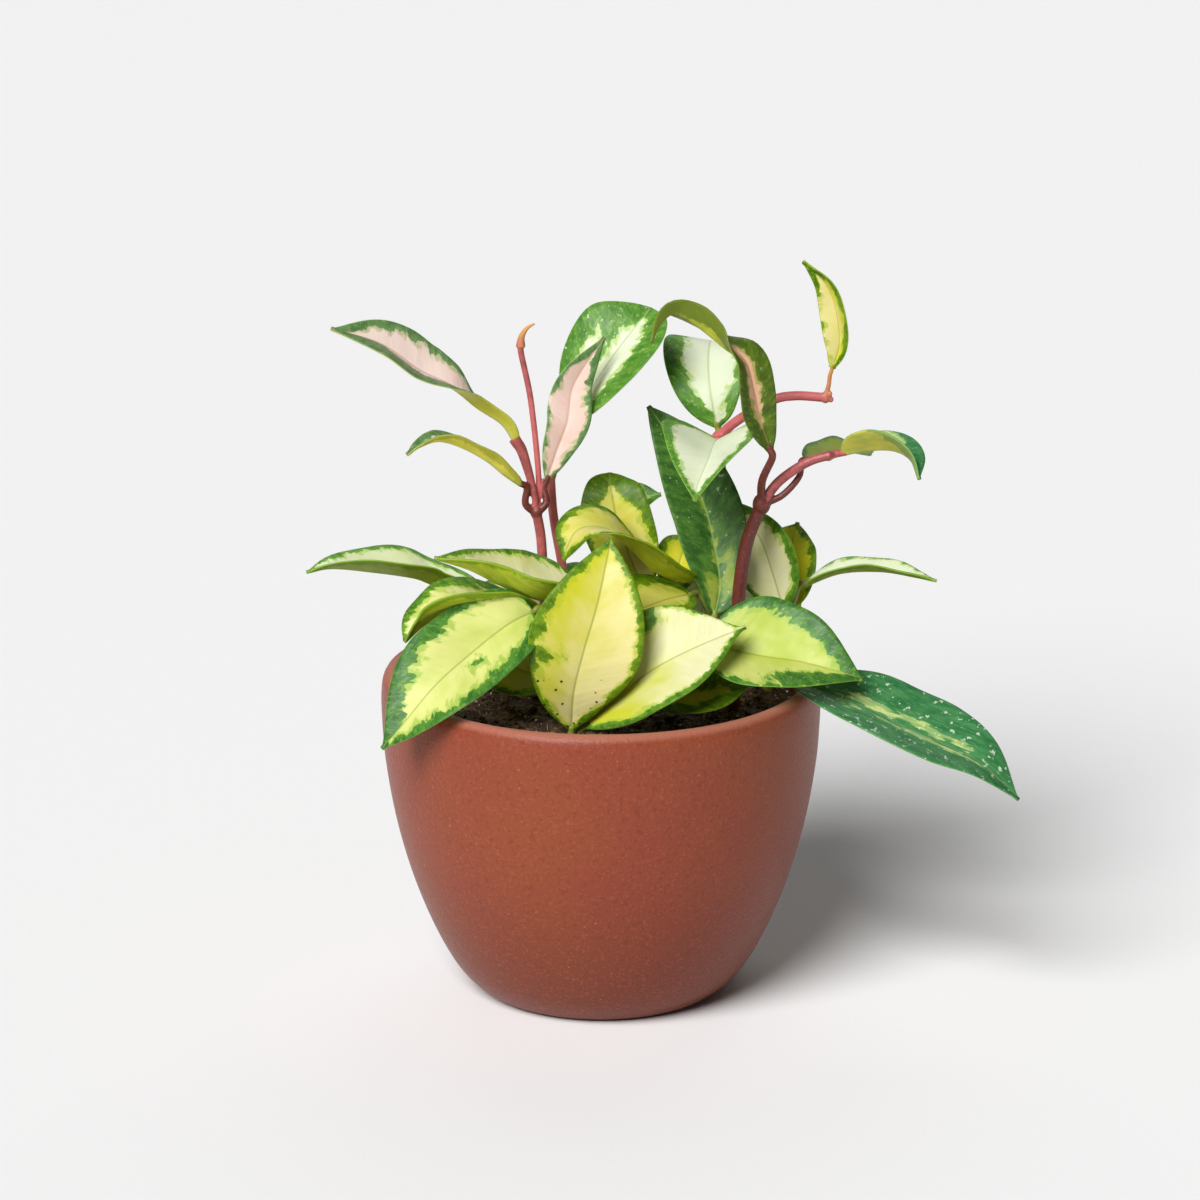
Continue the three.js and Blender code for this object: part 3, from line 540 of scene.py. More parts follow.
def leaf(name, rib, face, half, fold, skin, slot, margin, wide=0.5, wave=0.4, tip=3.0, glow=(0.3, 0, 0),
         green=(), pale=(), flecks=0.08, dirt=0.0, jag=1.0, sides=(1, 1), slim=(1, 1), foot=(2, 0.62),
         point=(1.9, 1.15), grain_way=(1, 1)):
    """One thick folded blade. rib runs from base to tip, face is the way the upper side looks.
    margin is the breadth of the green on the left at base and tip, then on the right. Patches of
    green or pale lie at (along, across) with their two half sizes."""
    # s goes from base to tip, q from the left edge at -1 over the rib to the right edge at 1
    places, ways, length = smooth_run(rib, stations)
    s = np.linspace(0, 1, stations)
    t = np.linspace(-1, 1, columns)
    q = np.sign(t) * np.abs(t) ** 1.3
    faces_at = np.linspace(0, 1, len(face)) if len(face) > 1 else np.array([0.0])
    looks = np.stack([np.interp(s, faces_at, [f[k] for f in face]) for k in range(3)], axis=1)
    across = np.cross(ways, looks)
    across /= np.linalg.norm(across, axis=1)[:, None]
    rise = np.cross(across, ways)
    rise /= np.linalg.norm(rise, axis=1)[:, None]
    width = half_width(s, half, wide, foot, point) * np.interp(s, np.linspace(0, 1, len(slim)), slim)
    s = s[:, None]
    width = width[:, None] * np.where(q < 0, sides[0], sides[1])
    ripple = wave * np.sin(13 * s + 1.7 * np.sign(q)) * np.abs(q) * np.sin(np.pi * s)
    sharp, blunt = math.sqrt(1 + soft_crease), math.sqrt(soft_crease)
    bend = (np.sqrt(q ** 2 + soft_crease) - blunt) / (sharp - blunt)
    angle = math.radians(fold)
    middle = (places[:, None] + across[:, None] * (width * q * math.cos(angle))[:, :, None]
              + rise[:, None] * (width * bend * math.sin(angle) + ripple)[:, :, None])
    outward = np.gradient(middle, axis=1)
    normal = np.cross(outward, np.gradient(middle, axis=0))
    normal /= np.linalg.norm(normal, axis=2)[:, :, None]
    outward /= np.linalg.norm(outward, axis=2)[:, :, None]
    off_rib = width * q
    thick = blade_half * (thin_edge + full_rib * (1 - q ** 4))
    groove = groove_deep * np.exp(-(off_rib / groove_wide) ** 2) * (1 - s ** 2)
    keel = keel_deep * np.exp(-(off_rib / keel_wide) ** 2) * (1 - s) ** 0.6
    points, faces = wrapped(middle + normal * (thick - groove)[:, :, None],
                            middle - normal * (thick + keel)[:, :, None],
                            middle[:, 0] - outward[:, 0] * round_edge,
                            middle[:, -1] + outward[:, -1] * round_edge)
    piece = new_piece(name.replace("leaf", "blade"), points, faces, skin, slot, [name])
    outer = bmesh.new()
    outer.from_mesh(piece.data)
    bmesh.ops.recalc_face_normals(outer, faces=outer.faces)
    outer.to_mesh(piece.data)
    outer.free()

    def patch(at_s, at_q, size_s, size_q):
        """How far each point lies outside an oval patch, in millimetres."""
        away = np.hypot((s - at_s) / size_s, (q - at_q) / size_q)
        return (away - 1) * min(size_s * length, size_q * half)

    def all_round(values):
        """Values on the blade's middle surface carried round its closed skin."""
        return np.concatenate([values, values[:, -1:], values[:, ::-1], values[:, :1]], axis=1)

    left = margin[0] + (margin[1] - margin[0]) * s
    right = margin[2] + (margin[3] - margin[2]) * s
    inset = width * (1 - np.abs(q)) - np.where(q < 0, left, np.where(q > 0, right, (left + right) / 2))
    inset = np.minimum(inset, (1 - s) * length - tip * (0.4 + 1.2 * np.abs(q)))
    for oval in green:
        inset = np.minimum(inset, patch(*oval))
    for oval in pale:
        inset = np.maximum(inset, -patch(*oval))
    warmth = glow[0] + glow[1] * q + glow[2] * (s - 0.5)
    flecked = np.where(s < soiled_share, flecks - dirt * (1 - s / soiled_share), flecks) + 0 * q
    vein_along = (s * length - vein_slant * np.abs(off_rib)) * grain_way[0]
    vein_along = vein_along + apart_in_grain * (len(blade_feet) + 1)
    upper_face, edge = np.ones((stations, columns)), np.zeros((stations, 1))
    face_side = np.concatenate([upper_face, edge, -upper_face, edge], axis=1)
    carry(piece, "blade", [all_round(vein_along), all_round(off_rib * grain_way[1]), face_side])
    carry(piece, "look", [all_round(inset / jag), all_round(warmth), all_round(flecked)])
    blade_feet[name] = places[0], ways[0]


red_stem, tree, shader, place = new_finish("red fleshy stem")
aged, greening, ochre = carried(tree, "tint")
mottle = sums(tree, "SUBTRACT", grain(tree, place, 260, 3, 0.6), 0.5)
aged = spread(tree, plus(tree, aged, mottle), 0.0, 1.0)
skin = mixed(tree, aged, paint(204, 104, 104), paint(104, 42, 34))
greening = plus(tree, greening, times(tree, mottle, 0.7))
skin = mixed(tree, spread(tree, greening, 0.15, 0.95), skin, paint(128, 138, 50))
skin = mixed(tree, ochre, skin, paint(206, 152, 66))
pore = spread(tree, cells(tree, place, 900.0)[0], 0.08, 0.26, 0.16, 0.0)
skin = mixed(tree, pore, skin, paint(222, 168, 150))
coat(tree, shader, skin, plus(tree, grain(tree, place, 700, 3, 0.6), mottle), 0.4, 0.4)
shader.inputs["Roughness"].default_value = 0.45
shader.inputs["Subsurface Weight"].default_value = 0.1
shader.inputs["Subsurface Radius"].default_value = (1.0, 0.5, 0.4)
shader.inputs["Subsurface Scale"].default_value = 1.0 * MM

# How aged, how green and how ochre a stretch of stem is
pink = (0.1, 0.0, 0.0)
rose = (0.5, 0.0, 0.0)
brown = (1.0, 0.1, 0.0)
leafy = (0.2, 1.1, 0.0)
tan = (0.7, 0.6, 0.25)
hole_depth = 22
before_blade, inside_blade = 2.6, 1.6
ring_step = 0.8
swelling, swelling_reach = 0.2, 2.2


def stalk(name, start, by=(), thick=1.2, thin=0.99, low=leafy, high=leafy):
    """A leaf's stalk, from its start on the stem to a little way inside the foot of the blade."""
    base, way = blade_feet[name]
    return [start, *by, base - way * before_blade, base, base + way * inside_blade], thick, thin, low, high


def stem(name, slot, radius, path, shoots, buds=(), foot=tan, crown=leafy):
    """One plant's stem with its branches and leaf stalks, grown together at swollen joints."""
    x, y, _ = path[0]
    buried, rise = (x, y, soil_level - hole_depth + 0.3), (x, y, soil_level - 3)
    points, faces, samples = [], [], []

    def take(new_points, new_faces):
        start = sum(len(part) for part in points)
        points.append(np.asarray(new_points))
        faces.extend([[start + corner for corner in face] for face in new_faces])

    for run, thick, thin, low, high in [([buried, rise, *path], radius, radius, foot, crown), *shoots]:
        length = smooth_run(run, 50)[2]
        count = max(8, int(length / ring_step))
        places, _, _ = smooth_run(run, count)
        share = np.linspace(0, 1, count)
        swell = 1 + swelling * np.exp(-(share * length / swelling_reach) ** 2)
        take(*tube(places, (thick + (thin - thick) * share) * swell, 14))
        for at, place in zip(share, places):
            samples.append((place, tuple(a + (b - a) * at for a, b in zip(low, high))))
    for x, y, z, size in buds:
        ball = bmesh.new()
        bmesh.ops.create_icosphere(ball, subdivisions=3, radius=size)
        take([(v.co.x + x, v.co.y + y, v.co.z * 1.2 + z) for v in ball.verts],
             [[v.index for v in face.verts] for face in ball.faces])
        ball.free()
    piece = new_piece(name.replace("vine", "stem"), np.vstack(points), faces, red_stem, slot, [name])
    grown = piece.modifiers.new("grown together", "REMESH")
    grown.mode = "VOXEL"
    grown.voxel_size = 0.3 * MM
    eased = piece.modifiers.new("eased joints", "SMOOTH")
    eased.factor = 0.5
    eased.iterations = 4
    whole = bpy.data.meshes.new_from_object(piece.evaluated_get(bpy.context.evaluated_depsgraph_get()))
    piece.modifiers.clear()
    piece.data = whole
    whole.polygons.foreach_set("use_smooth", [True] * len(whole.polygons))
    if not whole.materials:
        whole.materials.append(red_stem)
    nearest = KDTree(len(samples))
    for k, (place, _) in enumerate(samples):
        nearest.insert(Vector(place) * MM, k)
    nearest.balance()
    tints = np.zeros((len(whole.vertices), 3), np.float32)
    for vertex in whole.vertices:
        close = nearest.find_n(vertex.co, 3)
        weights = [1 / (distance + 0.2 * MM) for _, _, distance in close]
        for (_, k, _), weight in zip(close, weights):
            tints[vertex.index] += np.array(samples[k][1]) * weight / sum(weights)
    carry(piece, "tint", list(tints.T))


sunny = leaf_skin(
    "sunlit yellow leaf", pale=(224, 214, 148), glow=(198, 196, 38), green=(108, 144, 16),
    deep=(68, 106, 8), lime=(172, 186, 46), under=(200, 204, 56), under_green=(128, 154, 16),
    rib=(140, 146, 40))
cream = leaf_skin(
    "cream centred leaf", pale=(222, 220, 176), glow=(200, 202, 56), green=(100, 146, 38),
    deep=(56, 104, 22), lime=(166, 190, 70), under=(194, 204, 62), under_green=(118, 150, 20),
    rib=(150, 160, 60))

leaf("leaf_m", half=16.6, fold=10, wide=0.46, wave=0.5, skin=sunny, slot="yellow_leaf", foot=(1.5, 0.86),
     point=(2.0, 1.1),
     rib=[(-8.6, -31, 88.6), (-8, -34, 101), (-5, -34.5, 114), (-1, -33, 128), (3, -26, 145.5)],
     face=[(0, -1, 0.1), (0, -1, 0.2), (0, -0.9, 0.5)], margin=(1.0, 2.6, 1.2, 1.4), tip=1.0,
     green=[(0.38, -0.84, 0.03, 0.36), (0.48, -0.94, 0.05, 0.16), (0.62, -0.93, 0.08, 0.12),
            (0.8, -0.9, 0.05, 0.16)], glow=(0.42, -0.5, 0.7), flecks=0.03, dirt=0.62, jag=0.75)
leaf("leaf_o", half=17, fold=20, wave=0.5, skin=cream, slot="cream_leaf", foot=(1.6, 0.84),
     point=(2.3, 1.5),
     rib=[(-5, -29, 89), (4, -31, 97.6), (14, -32, 106.5), (26, -31, 113), (42, -28, 119)],
     face=[(-0.3, -0.7, 0.65)], margin=(0.9, 0.0, 2.6, 1.2), tip=-4,
     green=[(0.44, -0.76, 0.05, 0.24), (0.58, -0.8, 0.06, 0.14)], glow=(0.5, -0.1, -1.6), flecks=0.04,
     jag=0.6)
stem("vine_front", "green_stem", 1.7, [(-8, -30, 86.5), (-8, -30, 87.2)],
     [stalk("leaf_m", (-8.3, -30, 85)), stalk("leaf_o", (-7.7, -30, 85))])

# Left front stem and its four leaves
# A short green stem just behind the front one. One leaf hangs over the rim at the left, two reach
# out behind it as folded troughs, and a small one lies low in their shade.

lagoon = leaf_skin(
    "blue green edged leaf", pale=(216, 218, 138), glow=(180, 194, 78), green=(80, 134, 48),
    deep=(44, 100, 32), lime=(150, 182, 68), under=(184, 196, 60), under_green=(106, 142, 26),
    rib=(140, 156, 56))
leaf("leaf_n", half=14.5, fold=16, wave=0.5, skin=lagoon, slot="cream_leaf", foot=(3, 0.5),
     rib=[(-19.4, -23.5, 122.4), (-27, -29, 120), (-38, -36, 113), (-48, -43, 105.5), (-58, -47, 94),
          (-63, -48, 88.5)],
     face=[(-0.15, -0.8, 0.45), (-0.25, -0.65, 0.7)], margin=(4.6, 2.2, 1.4, 7.0), tip=1.5,
     green=[(0.4, -0.3, 0.014, 0.05)], glow=(0.3, -0.2, -0.3), flecks=0.07)
# A broad trough, its far half pale and lit
leaf("leaf_k", half=17, fold=33, wide=0.3, wave=0.5, skin=cream, slot="cream_leaf",
     rib=[(-3, -12, 118.5), (-12, -16, 123), (-21, -20, 126.5), (-29, -22, 130.5), (-38, -25, 136),
          (-48, -28, 140)],
     face=[(0.3, 0.05, 0.95)], margin=(2.0, 1.4, 2.0, 1.2), tip=1.5, jag=0.7)
leaf("leaf_l", half=13, fold=33, wide=0.45, wave=0.5, skin=cream, slot="cream_leaf", point=(2.6, 0.85),
     rib=[(-19, -12, 116), (-25, -15, 119.5), (-36, -19.5, 122), (-45, -24, 122.5), (-52, -26, 119),
          (-57, -28, 114.5)],
     face=[(0, 0.1, 1)], margin=(3.0, 2.0, 4.4, 2.4), tip=1.5, glow=(0.4, 0, 0))
leaf("leaf_s", half=13, fold=15, skin=sunny, slot="cream_leaf",
     rib=[(-18, -18, 101), (-24, -21, 104), (-32, -22, 110), (-40, -20, 114)],
     face=[(0, -0.6, 0.8)], margin=(2.0, 2.0, 2.6, 2.4), glow=(0.8, 0, 0))
stem("vine_left_front", "green_stem", 1.8,
     [(-6, -9, 90), (-5.5, -9.5, 96), (-5, -10, 105), (-4, -10.5, 111)],
     [stalk("leaf_n", (-5.2, -10, 101), [(-11, -16, 114)], thin=0.95),
      stalk("leaf_l", (-5, -10, 105), [(-12, -11, 110)]), stalk("leaf_k", (-4, -10.5, 110)),
      stalk("leaf_s", (-5.6, -9.5, 93), [(-12, -14, 97)])])

# Low stem and its dark leaf
# A stub of a stem in the shade of the front leaves, with one dark green leaf close to the compost.

shade = leaf_skin(
    "dark green leaf", pale=(176, 188, 84), glow=(134, 152, 44), green=(84, 128, 52), deep=(48, 90, 34),
    lime=(116, 148, 48), under=(158, 174, 52), under_green=(92, 122, 26), rib=(156, 180, 96))
leaf("leaf_r", half=13, fold=24, skin=sunny, slot="olive_leaf", foot=(1.6, 0.8),
     rib=[(9, -21, 95), (17, -22, 96), (32, -22, 98), (46, -20, 102)],
     face=[(0, -0.55, 0.83)], margin=(20, 20, 20, 20),
     pale=[(0.5, 0.25, 0.34, 0.3), (0.3, -0.3, 0.22, 0.2)], glow=(0.9, 0, 0), flecks=0.1)
stem("vine_low", "green_stem", 1.7, [(4, -19, 90), (4, -19, 92.5)],
     [stalk("leaf_r", (4, -19, 90.5))])

# Left stem with one long folded leaf to the side and one behind
# The leaf in front reaches furthest left and is seen edge on, pale on its far half.

frosted = leaf_skin(
    "white centred leaf", pale=(220, 226, 200), glow=(206, 214, 142), green=(104, 154, 56),
    deep=(66, 120, 36), lime=(166, 196, 94), under=(136, 158, 26), under_green=(100, 128, 14),
    rib=(164, 186, 118))
leaf("leaf_j", half=12, fold=30, wide=0.45, skin=frosted, slot="cream_leaf", sides=(0.78, 1),
     rib=[(-34, 2, 121), (-48, 0, 124), (-55, -2, 127), (-68, -6, 130), (-79, -10, 132), (-86, -12, 131)],
     face=[(0.1, 0.1, 1)], margin=(2.6, 1.5, 2.0, 1.0), tip=3, glow=(0.4, 0, 0), jag=0.7)
leaf("leaf_back_left", half=14, fold=16, wide=0.48, wave=0.5, skin=cream, slot="cream_leaf",
     rib=[(-30, 22, 103), (-37, 31, 108), (-45, 41, 106), (-52, 49, 98)],
     face=[(-0.2, 0.2, 1)], margin=(2.6, 3.2, 2.2, 3.6), glow=(0.3, 0.1, 0))
stem("vine_left", "green_stem", 1.6, [(-26, 8, 90), (-27, 8, 98), (-29, 8, 108)],
     [stalk("leaf_j", (-29, 8, 107), [(-30, 5, 115)]),
      stalk("leaf_back_left", (-27.2, 8, 99), [(-28, 16, 102)])])

# Tall left stem with three leaves and a bare shoot
# Pinkish red, forking at a swollen joint into three dark leaf stalks and one long thin shoot that
# ends in a small brown bud. Its young leaves are flushed with pink.

blush = leaf_skin(
    "pink flushed leaf", pale=(238, 216, 208), glow=(236, 194, 180), green=(112, 148, 92),
    deep=(76, 116, 62), lime=(176, 180, 124), under=(232, 222, 96), under_green=(176, 176, 60),
    rib=(206, 164, 144))
leaf("leaf_a1", half=9.5, fold=28, wide=0.6, wave=0.5, skin=blush, slot="blush_leaf",
     slim=(0.5, 0.46, 0.62, 0.9, 1, 1, 1), foot=(3, 0.5),
     rib=[(-24.6, 4, 165.8), (-28.6, 4, 172), (-36, 3, 177.3), (-43, 1, 183.5), (-53, -1, 189),
          (-64, -4, 197.5), (-78, -8, 203)],
     face=[(0.2, 0.7, 0.7), (0.2, 0.3, 0.95), (0.25, -0.3, 0.9), (0.3, -0.5, 0.8), (0.3, -0.6, 0.75),
           (0.2, -0.6, 0.8)], margin=(5.0, 6.5, 1.6, 2.2), tip=9, glow=(0.05, 0, -0.4), flecks=0.03,
     jag=0.75)
leaf("leaf_a2", half=6, fold=35, skin=blush, slot="olive_leaf", slim=(0.52, 0.5, 0.58, 0.85, 1),
     foot=(3, 0.55),
     rib=[(-23.5, 2, 154), (-28, -1, 158), (-33, -4, 163), (-40, -8, 168), (-47, -12, 171),
          (-53, -16, 170), (-56, -18, 168)],
     face=[(0.2, 0.6, 0.8), (0.2, 0.5, 0.9), (0.1, 0.3, 1), (-0.3, -0.3, 0.9), (-0.6, -0.5, 0.6)],
     margin=(1.2, 1.4, 1.2, 2.4), tip=8, glow=(0.2, 0, 0), flecks=0.03, jag=0.5)
leaf("leaf_a3", half=6.6, fold=14, wide=0.45, skin=blush, slot="blush_leaf", foot=(1.7, 0.8),
     rib=[(-16, 6, 154), (-13, 7, 163), (-10, 9, 171), (-8, 11, 182), (1, 15, 195)],
     face=[(0.2, -1, 0)], margin=(0.3, 1.0, 0.6, 1.8), tip=9, glow=(0.5, 0.1, 0), flecks=0.02, jag=0.6)
stem("vine_left_tall", "pink_stem", 1.5,
     [(-15, 3, 90), (-16, 4, 105), (-17, 4, 122), (-17.6, 4, 136), (-19, 4, 145)],
     [([(-18.8, 5, 146), (-18.4, 6, 156), (-20.6, 7, 178), (-23.5, 7, 193), (-23, 7, 196)],
       0.9, 0.95, pink, rose),
      ([(-23.5, 7, 194), (-23.2, 7, 197), (-21.6, 7, 199.6), (-19.3, 7, 201)],
       1.25, 0.35, (0.2, 0, 0.5), (0.6, 0, 1.0)),
      stalk("leaf_a1", (-19.3, 4, 145.6), [(-19.5, 4, 149.5), (-21.3, 4.3, 157)],
            thick=0.85, thin=1.8, low=rose, high=rose),
      stalk("leaf_a2", (-19, 4, 144.6), [(-22.2, 3.4, 147.4)],
            thick=1.15, thin=1.0, low=brown, high=brown),
      stalk("leaf_a3", (-19, 4, 144.6), [(-16.1, 4.6, 147.4)],
            thick=1.15, thin=1.0, low=brown, high=brown)],
     buds=[(-19, 4, 144.6, 1.8)], foot=(0.8, 0, 0), crown=(0.45, 0, 0))

# Left back stem with one broad leaf
# A thin pink stem hidden by the tall one, ending in a broad leaf with a cream band along its rib.

leaf("leaf_b1", half=16, fold=18, wide=0.6, wave=0.1, skin=frosted, slot="pale_leaf", foot=(2, 0.7),
     point=(2.8, 0.78),
     rib=[(-8.5, 18.3, 168), (-4.5, 19.2, 175), (0, 20.5, 182.2), (6, 22.5, 190.5), (11, 25.5, 196.2),
          (15, 29.5, 200.2)],
     face=[(-0.6, -0.5, 0.6), (-0.5, -0.6, 0.55), (-0.35, -0.65, 0.55)], margin=(10.0, 12.5, 6.0, 10.0),
     tip=7, pale=[(0.45, -0.5, 0.18, 0.2)], glow=(0.1, 0, 0), flecks=0.22)
stem("vine_left_back", "pink_stem", 1.4,
     [(-9, 14, 90), (-9.5, 14, 105), (-11, 14, 122), (-14, 14.5, 140), (-15, 15, 153)],
     [stalk("leaf_b1", (-15, 15, 152), thick=1.3, thin=1.1, low=pink, high=pink)],
     foot=rose, crown=pink)

# Centre stem with a rounded leaf and two small ones
# The rounded yellow leaf stands up behind the front ones and bends back at its top.

leaf("leaf_t1", half=10.5, fold=4, wide=0.55, wave=0.2, skin=sunny, slot="yellow_leaf", point=(2.6, 0.56),
     rib=[(13, 19, 116), (9, 19, 126), (5, 20, 137), (3.5, 21.5, 144), (2.6, 24, 148), (2.6, 27, 150.4)],
     face=[(-0.3, -1, 0.2), (-0.2, -0.9, 0.3), (0, -0.7, 0.6)], margin=(0.8, 3.6, 0.8, 3.6), tip=11,
     glow=(0.55, 0, 0), flecks=0.06, jag=0.7)
leaf("leaf_u", half=7, fold=20, wave=0.3, skin=frosted, slot="green_leaf",
     rib=[(3, 28, 129), (6, 29, 136), (11, 30, 141), (18, 30, 143)],
     face=[(-0.5, -0.6, 0.6)], margin=(1.6, 2.0, 1.6, 2.0), jag=0.6)
leaf("leaf_v", half=7.4, fold=15, wave=0.3, skin=sunny, slot="olive_leaf",
     rib=[(21, 13, 116.5), (22.3, 16, 121.5), (24.5, 24, 127), (27.5, 34, 129)],
     face=[(0, -0.7, 0.7)], margin=(1.6, 2.0, 1.6, 2.0), glow=(0.9, 0, 0), jag=0.6)
stem("vine_centre", "green_stem", 1.7, [(12, 21, 90), (13, 21, 97), (13.5, 21, 106)],
     [stalk("leaf_t1", (13.5, 21, 105)),
      stalk("leaf_u", (13, 21, 100), [(6, 26, 115)], thick=1.1, thin=0.9),
      stalk("leaf_v", (13.3, 21, 103), [(18, 16, 110)], thick=1.1, thin=0.9)])

# Right front stem with its forked top and four leaves
# The thickest stem, dark red, leans out at the right. It forks at a swollen joint: one leaf arches
# up and over, two more go right, one on a side shoot, and a long green leaf hangs over the rim.

bronze = leaf_skin(
    "bronze centred leaf", pale=(210, 168, 136), glow=(180, 168, 80), green=(92, 116, 28),
    deep=(60, 84, 14), lime=(138, 144, 60), under=(184, 188, 60), under_green=(76, 102, 20),
    rib=(166, 120, 90))
deep_sea = leaf_skin(
    "blue green leaf", pale=(204, 212, 138), glow=(162, 188, 100), green=(76, 140, 84),
    deep=(44, 110, 62), lime=(120, 164, 100), under=(200, 194, 84), under_green=(116, 148, 84),
    rib=(138, 172, 110))
leaf("leaf_c1", half=6.5, fold=25, wide=0.4, skin=bronze, slot="green_leaf",
     slim=(1, 1, 1, 1, 1.1, 1.3, 1.35, 1.3),
     rib=[(49, -10, 167.5), (46, -11, 177), (44, -12, 186), (41.5, -11, 194), (36, -9, 198),
          (31, -8, 202), (25, -8, 206.5), (20, -9, 208), (16, -11, 204), (14.5, -13, 200)],
     face=[(0.1, -1, 0), (0.2, -1, 0.1), (0.5, -0.6, 0.5), (0.3, 0.4, 0.8), (-0.2, 0.7, 0.7),
           (-0.6, 0.5, 0.6)], margin=(3.0, 5.0, 3.6, 5.0), tip=24, glow=(0.0, 0, 0.4), flecks=0.04,
     jag=0.5)
leaf("leaf_c2", half=8.5, fold=35, wide=0.35, wave=0.3, skin=deep_sea, slot="olive_leaf",
     rib=[(70.5, -3.2, 164.8), (78, -6.5, 167), (85, -11, 168), (90, -15, 166), (92, -19, 161)],
     face=[(0, 0.3, 1), (0.1, 0.2, 1), (0.6, 0, 0.8)], margin=(-6, 9.0, -6, 9.0), tip=9, glow=(0.5, 0, 0),
     flecks=0.05, jag=0.6)
leaf("leaf_c3", half=8, fold=20, wide=0.7, skin=shade, slot="olive_leaf",
     rib=[(60, 1, 161.5), (66, 9, 161), (73, 17, 160), (80, 24, 157)],
     face=[(-0.2, -0.2, 1)], margin=(1.0, 1.0, 1.0, 1.0), glow=(1.2, 0, 0), jag=0.5)
leaf("leaf_q", half=15.5, fold=15, wide=0.52, wave=0.5, skin=deep_sea, slot="green_leaf",
     rib=[(56, -20, 100), (75, -27, 95), (87, -31, 90), (98, -35, 86), (110, -39, 81), (121, -42, 71)],
     face=[(0.2, -0.35, 0.9)], margin=(25, 25, 25, 25), tip=4,
     pale=[(0.42, -0.18, 0.36, 0.1), (0.62, 0.14, 0.25, 0.035), (0.2, 0.35, 0.1, 0.08)], glow=(0.2, 0, 0),
     flecks=0.42, grain_way=(0.4, 2.2))
stem("vine_right_front", "dark_stem", 2.0,
     [(39, -7, 90), (39.5, -5, 98), (40, -3, 112), (41, -2, 126), (43, -2, 138), (47, -2.5, 149)],
     [([(47, -2.5, 149), (52, -3, 156), (60, -4, 162), (67, -4.5, 164.5)], 1.5, 1.4, rose, rose),
      ([(39, -7, 84), (39.2, -6.5, 91), (39.5, -5, 97)], 2.2, 1.9, (0, 0.9, 0.9), (0.8, 0.3, 0.1)),
      stalk("leaf_c1", (47, -2.5, 149), [(47, -6, 157)], thick=1.3, thin=1.1, low=brown, high=brown),
      stalk("leaf_c2", (66, -4.5, 164), thick=1.3, thin=1.1, low=rose, high=rose),
      stalk("leaf_c3", (47, -2.5, 149), [(53, -2, 151.5), (58, -1, 157)],
            thick=1.1, thin=0.9, low=brown, high=brown),
      stalk("leaf_q", (39.3, -6, 94), [(45, -12, 98)], thick=1.3, thin=1.1, low=tan)],
     buds=[(47, -2.5, 149, 2.7)], foot=(1.1, 0.1, 0), crown=(1.1, 0, 0))

# Right middle stem with seven leaves
# It stands behind the dark one and carries the tall green leaf, the two white centred leaves at the
# top, the wide leaf that crosses the centre with a smaller one below it, the broad one at the right
# and, on a pink side shoot, one small yellow leaf.

leaf("leaf_f", half=11, fold=22, wide=0.42, wave=0.6, skin=shade, slot="green_leaf", point=(2.4, 1.0),
     rib=[(33.5, 1, 114), (35, 5, 123), (33, 11, 135), (30, 16, 145), (23, 22, 159), (14, 27, 171)],
     face=[(0.1, -1, 0.2)], margin=(20, 20, 20, 20), tip=4,
     pale=[(0.08, -0.3, 0.16, 0.3), (0.16, 0.4, 0.12, 0.24), (0.35, 0.0, 0.25, 0.04)], glow=(0.5, 0, 0),
     flecks=0.16)
leaf("leaf_e1", half=13.5, fold=6, wide=0.6, skin=frosted, slot="pale_leaf",
     rib=[(34.5, 22, 166), (33, 22, 173), (32, 26, 180), (32, 34, 185), (33, 46, 186), (35, 58, 180)],
     face=[(-0.3, -0.9, 0.2), (-0.2, -0.8, 0.6), (0, -0.2, 1), (0, 0.3, 1)], margin=(4.6, 6.0, 2.6, 4.4),
     tip=5, glow=(0.05, 0, 0), flecks=0.1)
leaf("leaf_e2", half=16.5, fold=30, wide=0.32, wave=0.5, skin=frosted, slot="pale_leaf",
     rib=[(34.5, 14, 164), (33, 5, 165), (31, -10, 164), (28, -22, 160), (27, -28, 157)],
     face=[(0, 0.1, 1)], margin=(4.2, 1.2, 4.0, 1.3), tip=0.3, glow=(0.0, 0, 0), flecks=0.04, jag=0.7)
leaf("leaf_t2", half=12, fold=16, wide=0.6, wave=0.3, skin=sunny, slot="yellow_leaf", sides=(1.28, 1),
     rib=[(29, 7, 123), (17, 3, 127), (9, 1, 135), (1, -1, 141), (-7, -4, 141), (-11, -7, 133)],
     face=[(0.2, 0.3, 1), (0.3, 0.3, 1), (0.2, 0.1, 1), (-0.4, -0.3, 0.8), (-0.5, -0.6, 0.6)],
     margin=(1.6, 1.6, 2.6, 2.2), tip=1.5, glow=(0.5, 0, 0), flecks=0.04, jag=0.7)
leaf("leaf_w", half=9.5, fold=10, wide=0.45, skin=sunny, slot="cream_leaf", sides=(1, 1.3),
     rib=[(27, 4, 119.5), (19, -4, 120), (11, -11, 119), (2, -17, 117)],
     face=[(0.1, -0.35, 0.9)], margin=(3.6, 3.4, 5.0, 4.6), glow=(0.6, 0, 0))
leaf("leaf_p", half=18, fold=25, wide=0.4, wave=0.6, skin=lagoon, slot="cream_leaf",
     rib=[(29, -19, 112), (34, -21, 111), (46, -24, 109), (58, -27, 108), (69, -30, 106), (76, -31, 104)],
     face=[(0, -0.6, 0.8)], margin=(1.6, 6.5, 1.2, 1.6), tip=0.5,
     green=[(0.74, 0.72, 0.24, 0.36), (0.93, 0.6, 0.14, 0.4)], glow=(0.75, -0.5, -0.3))
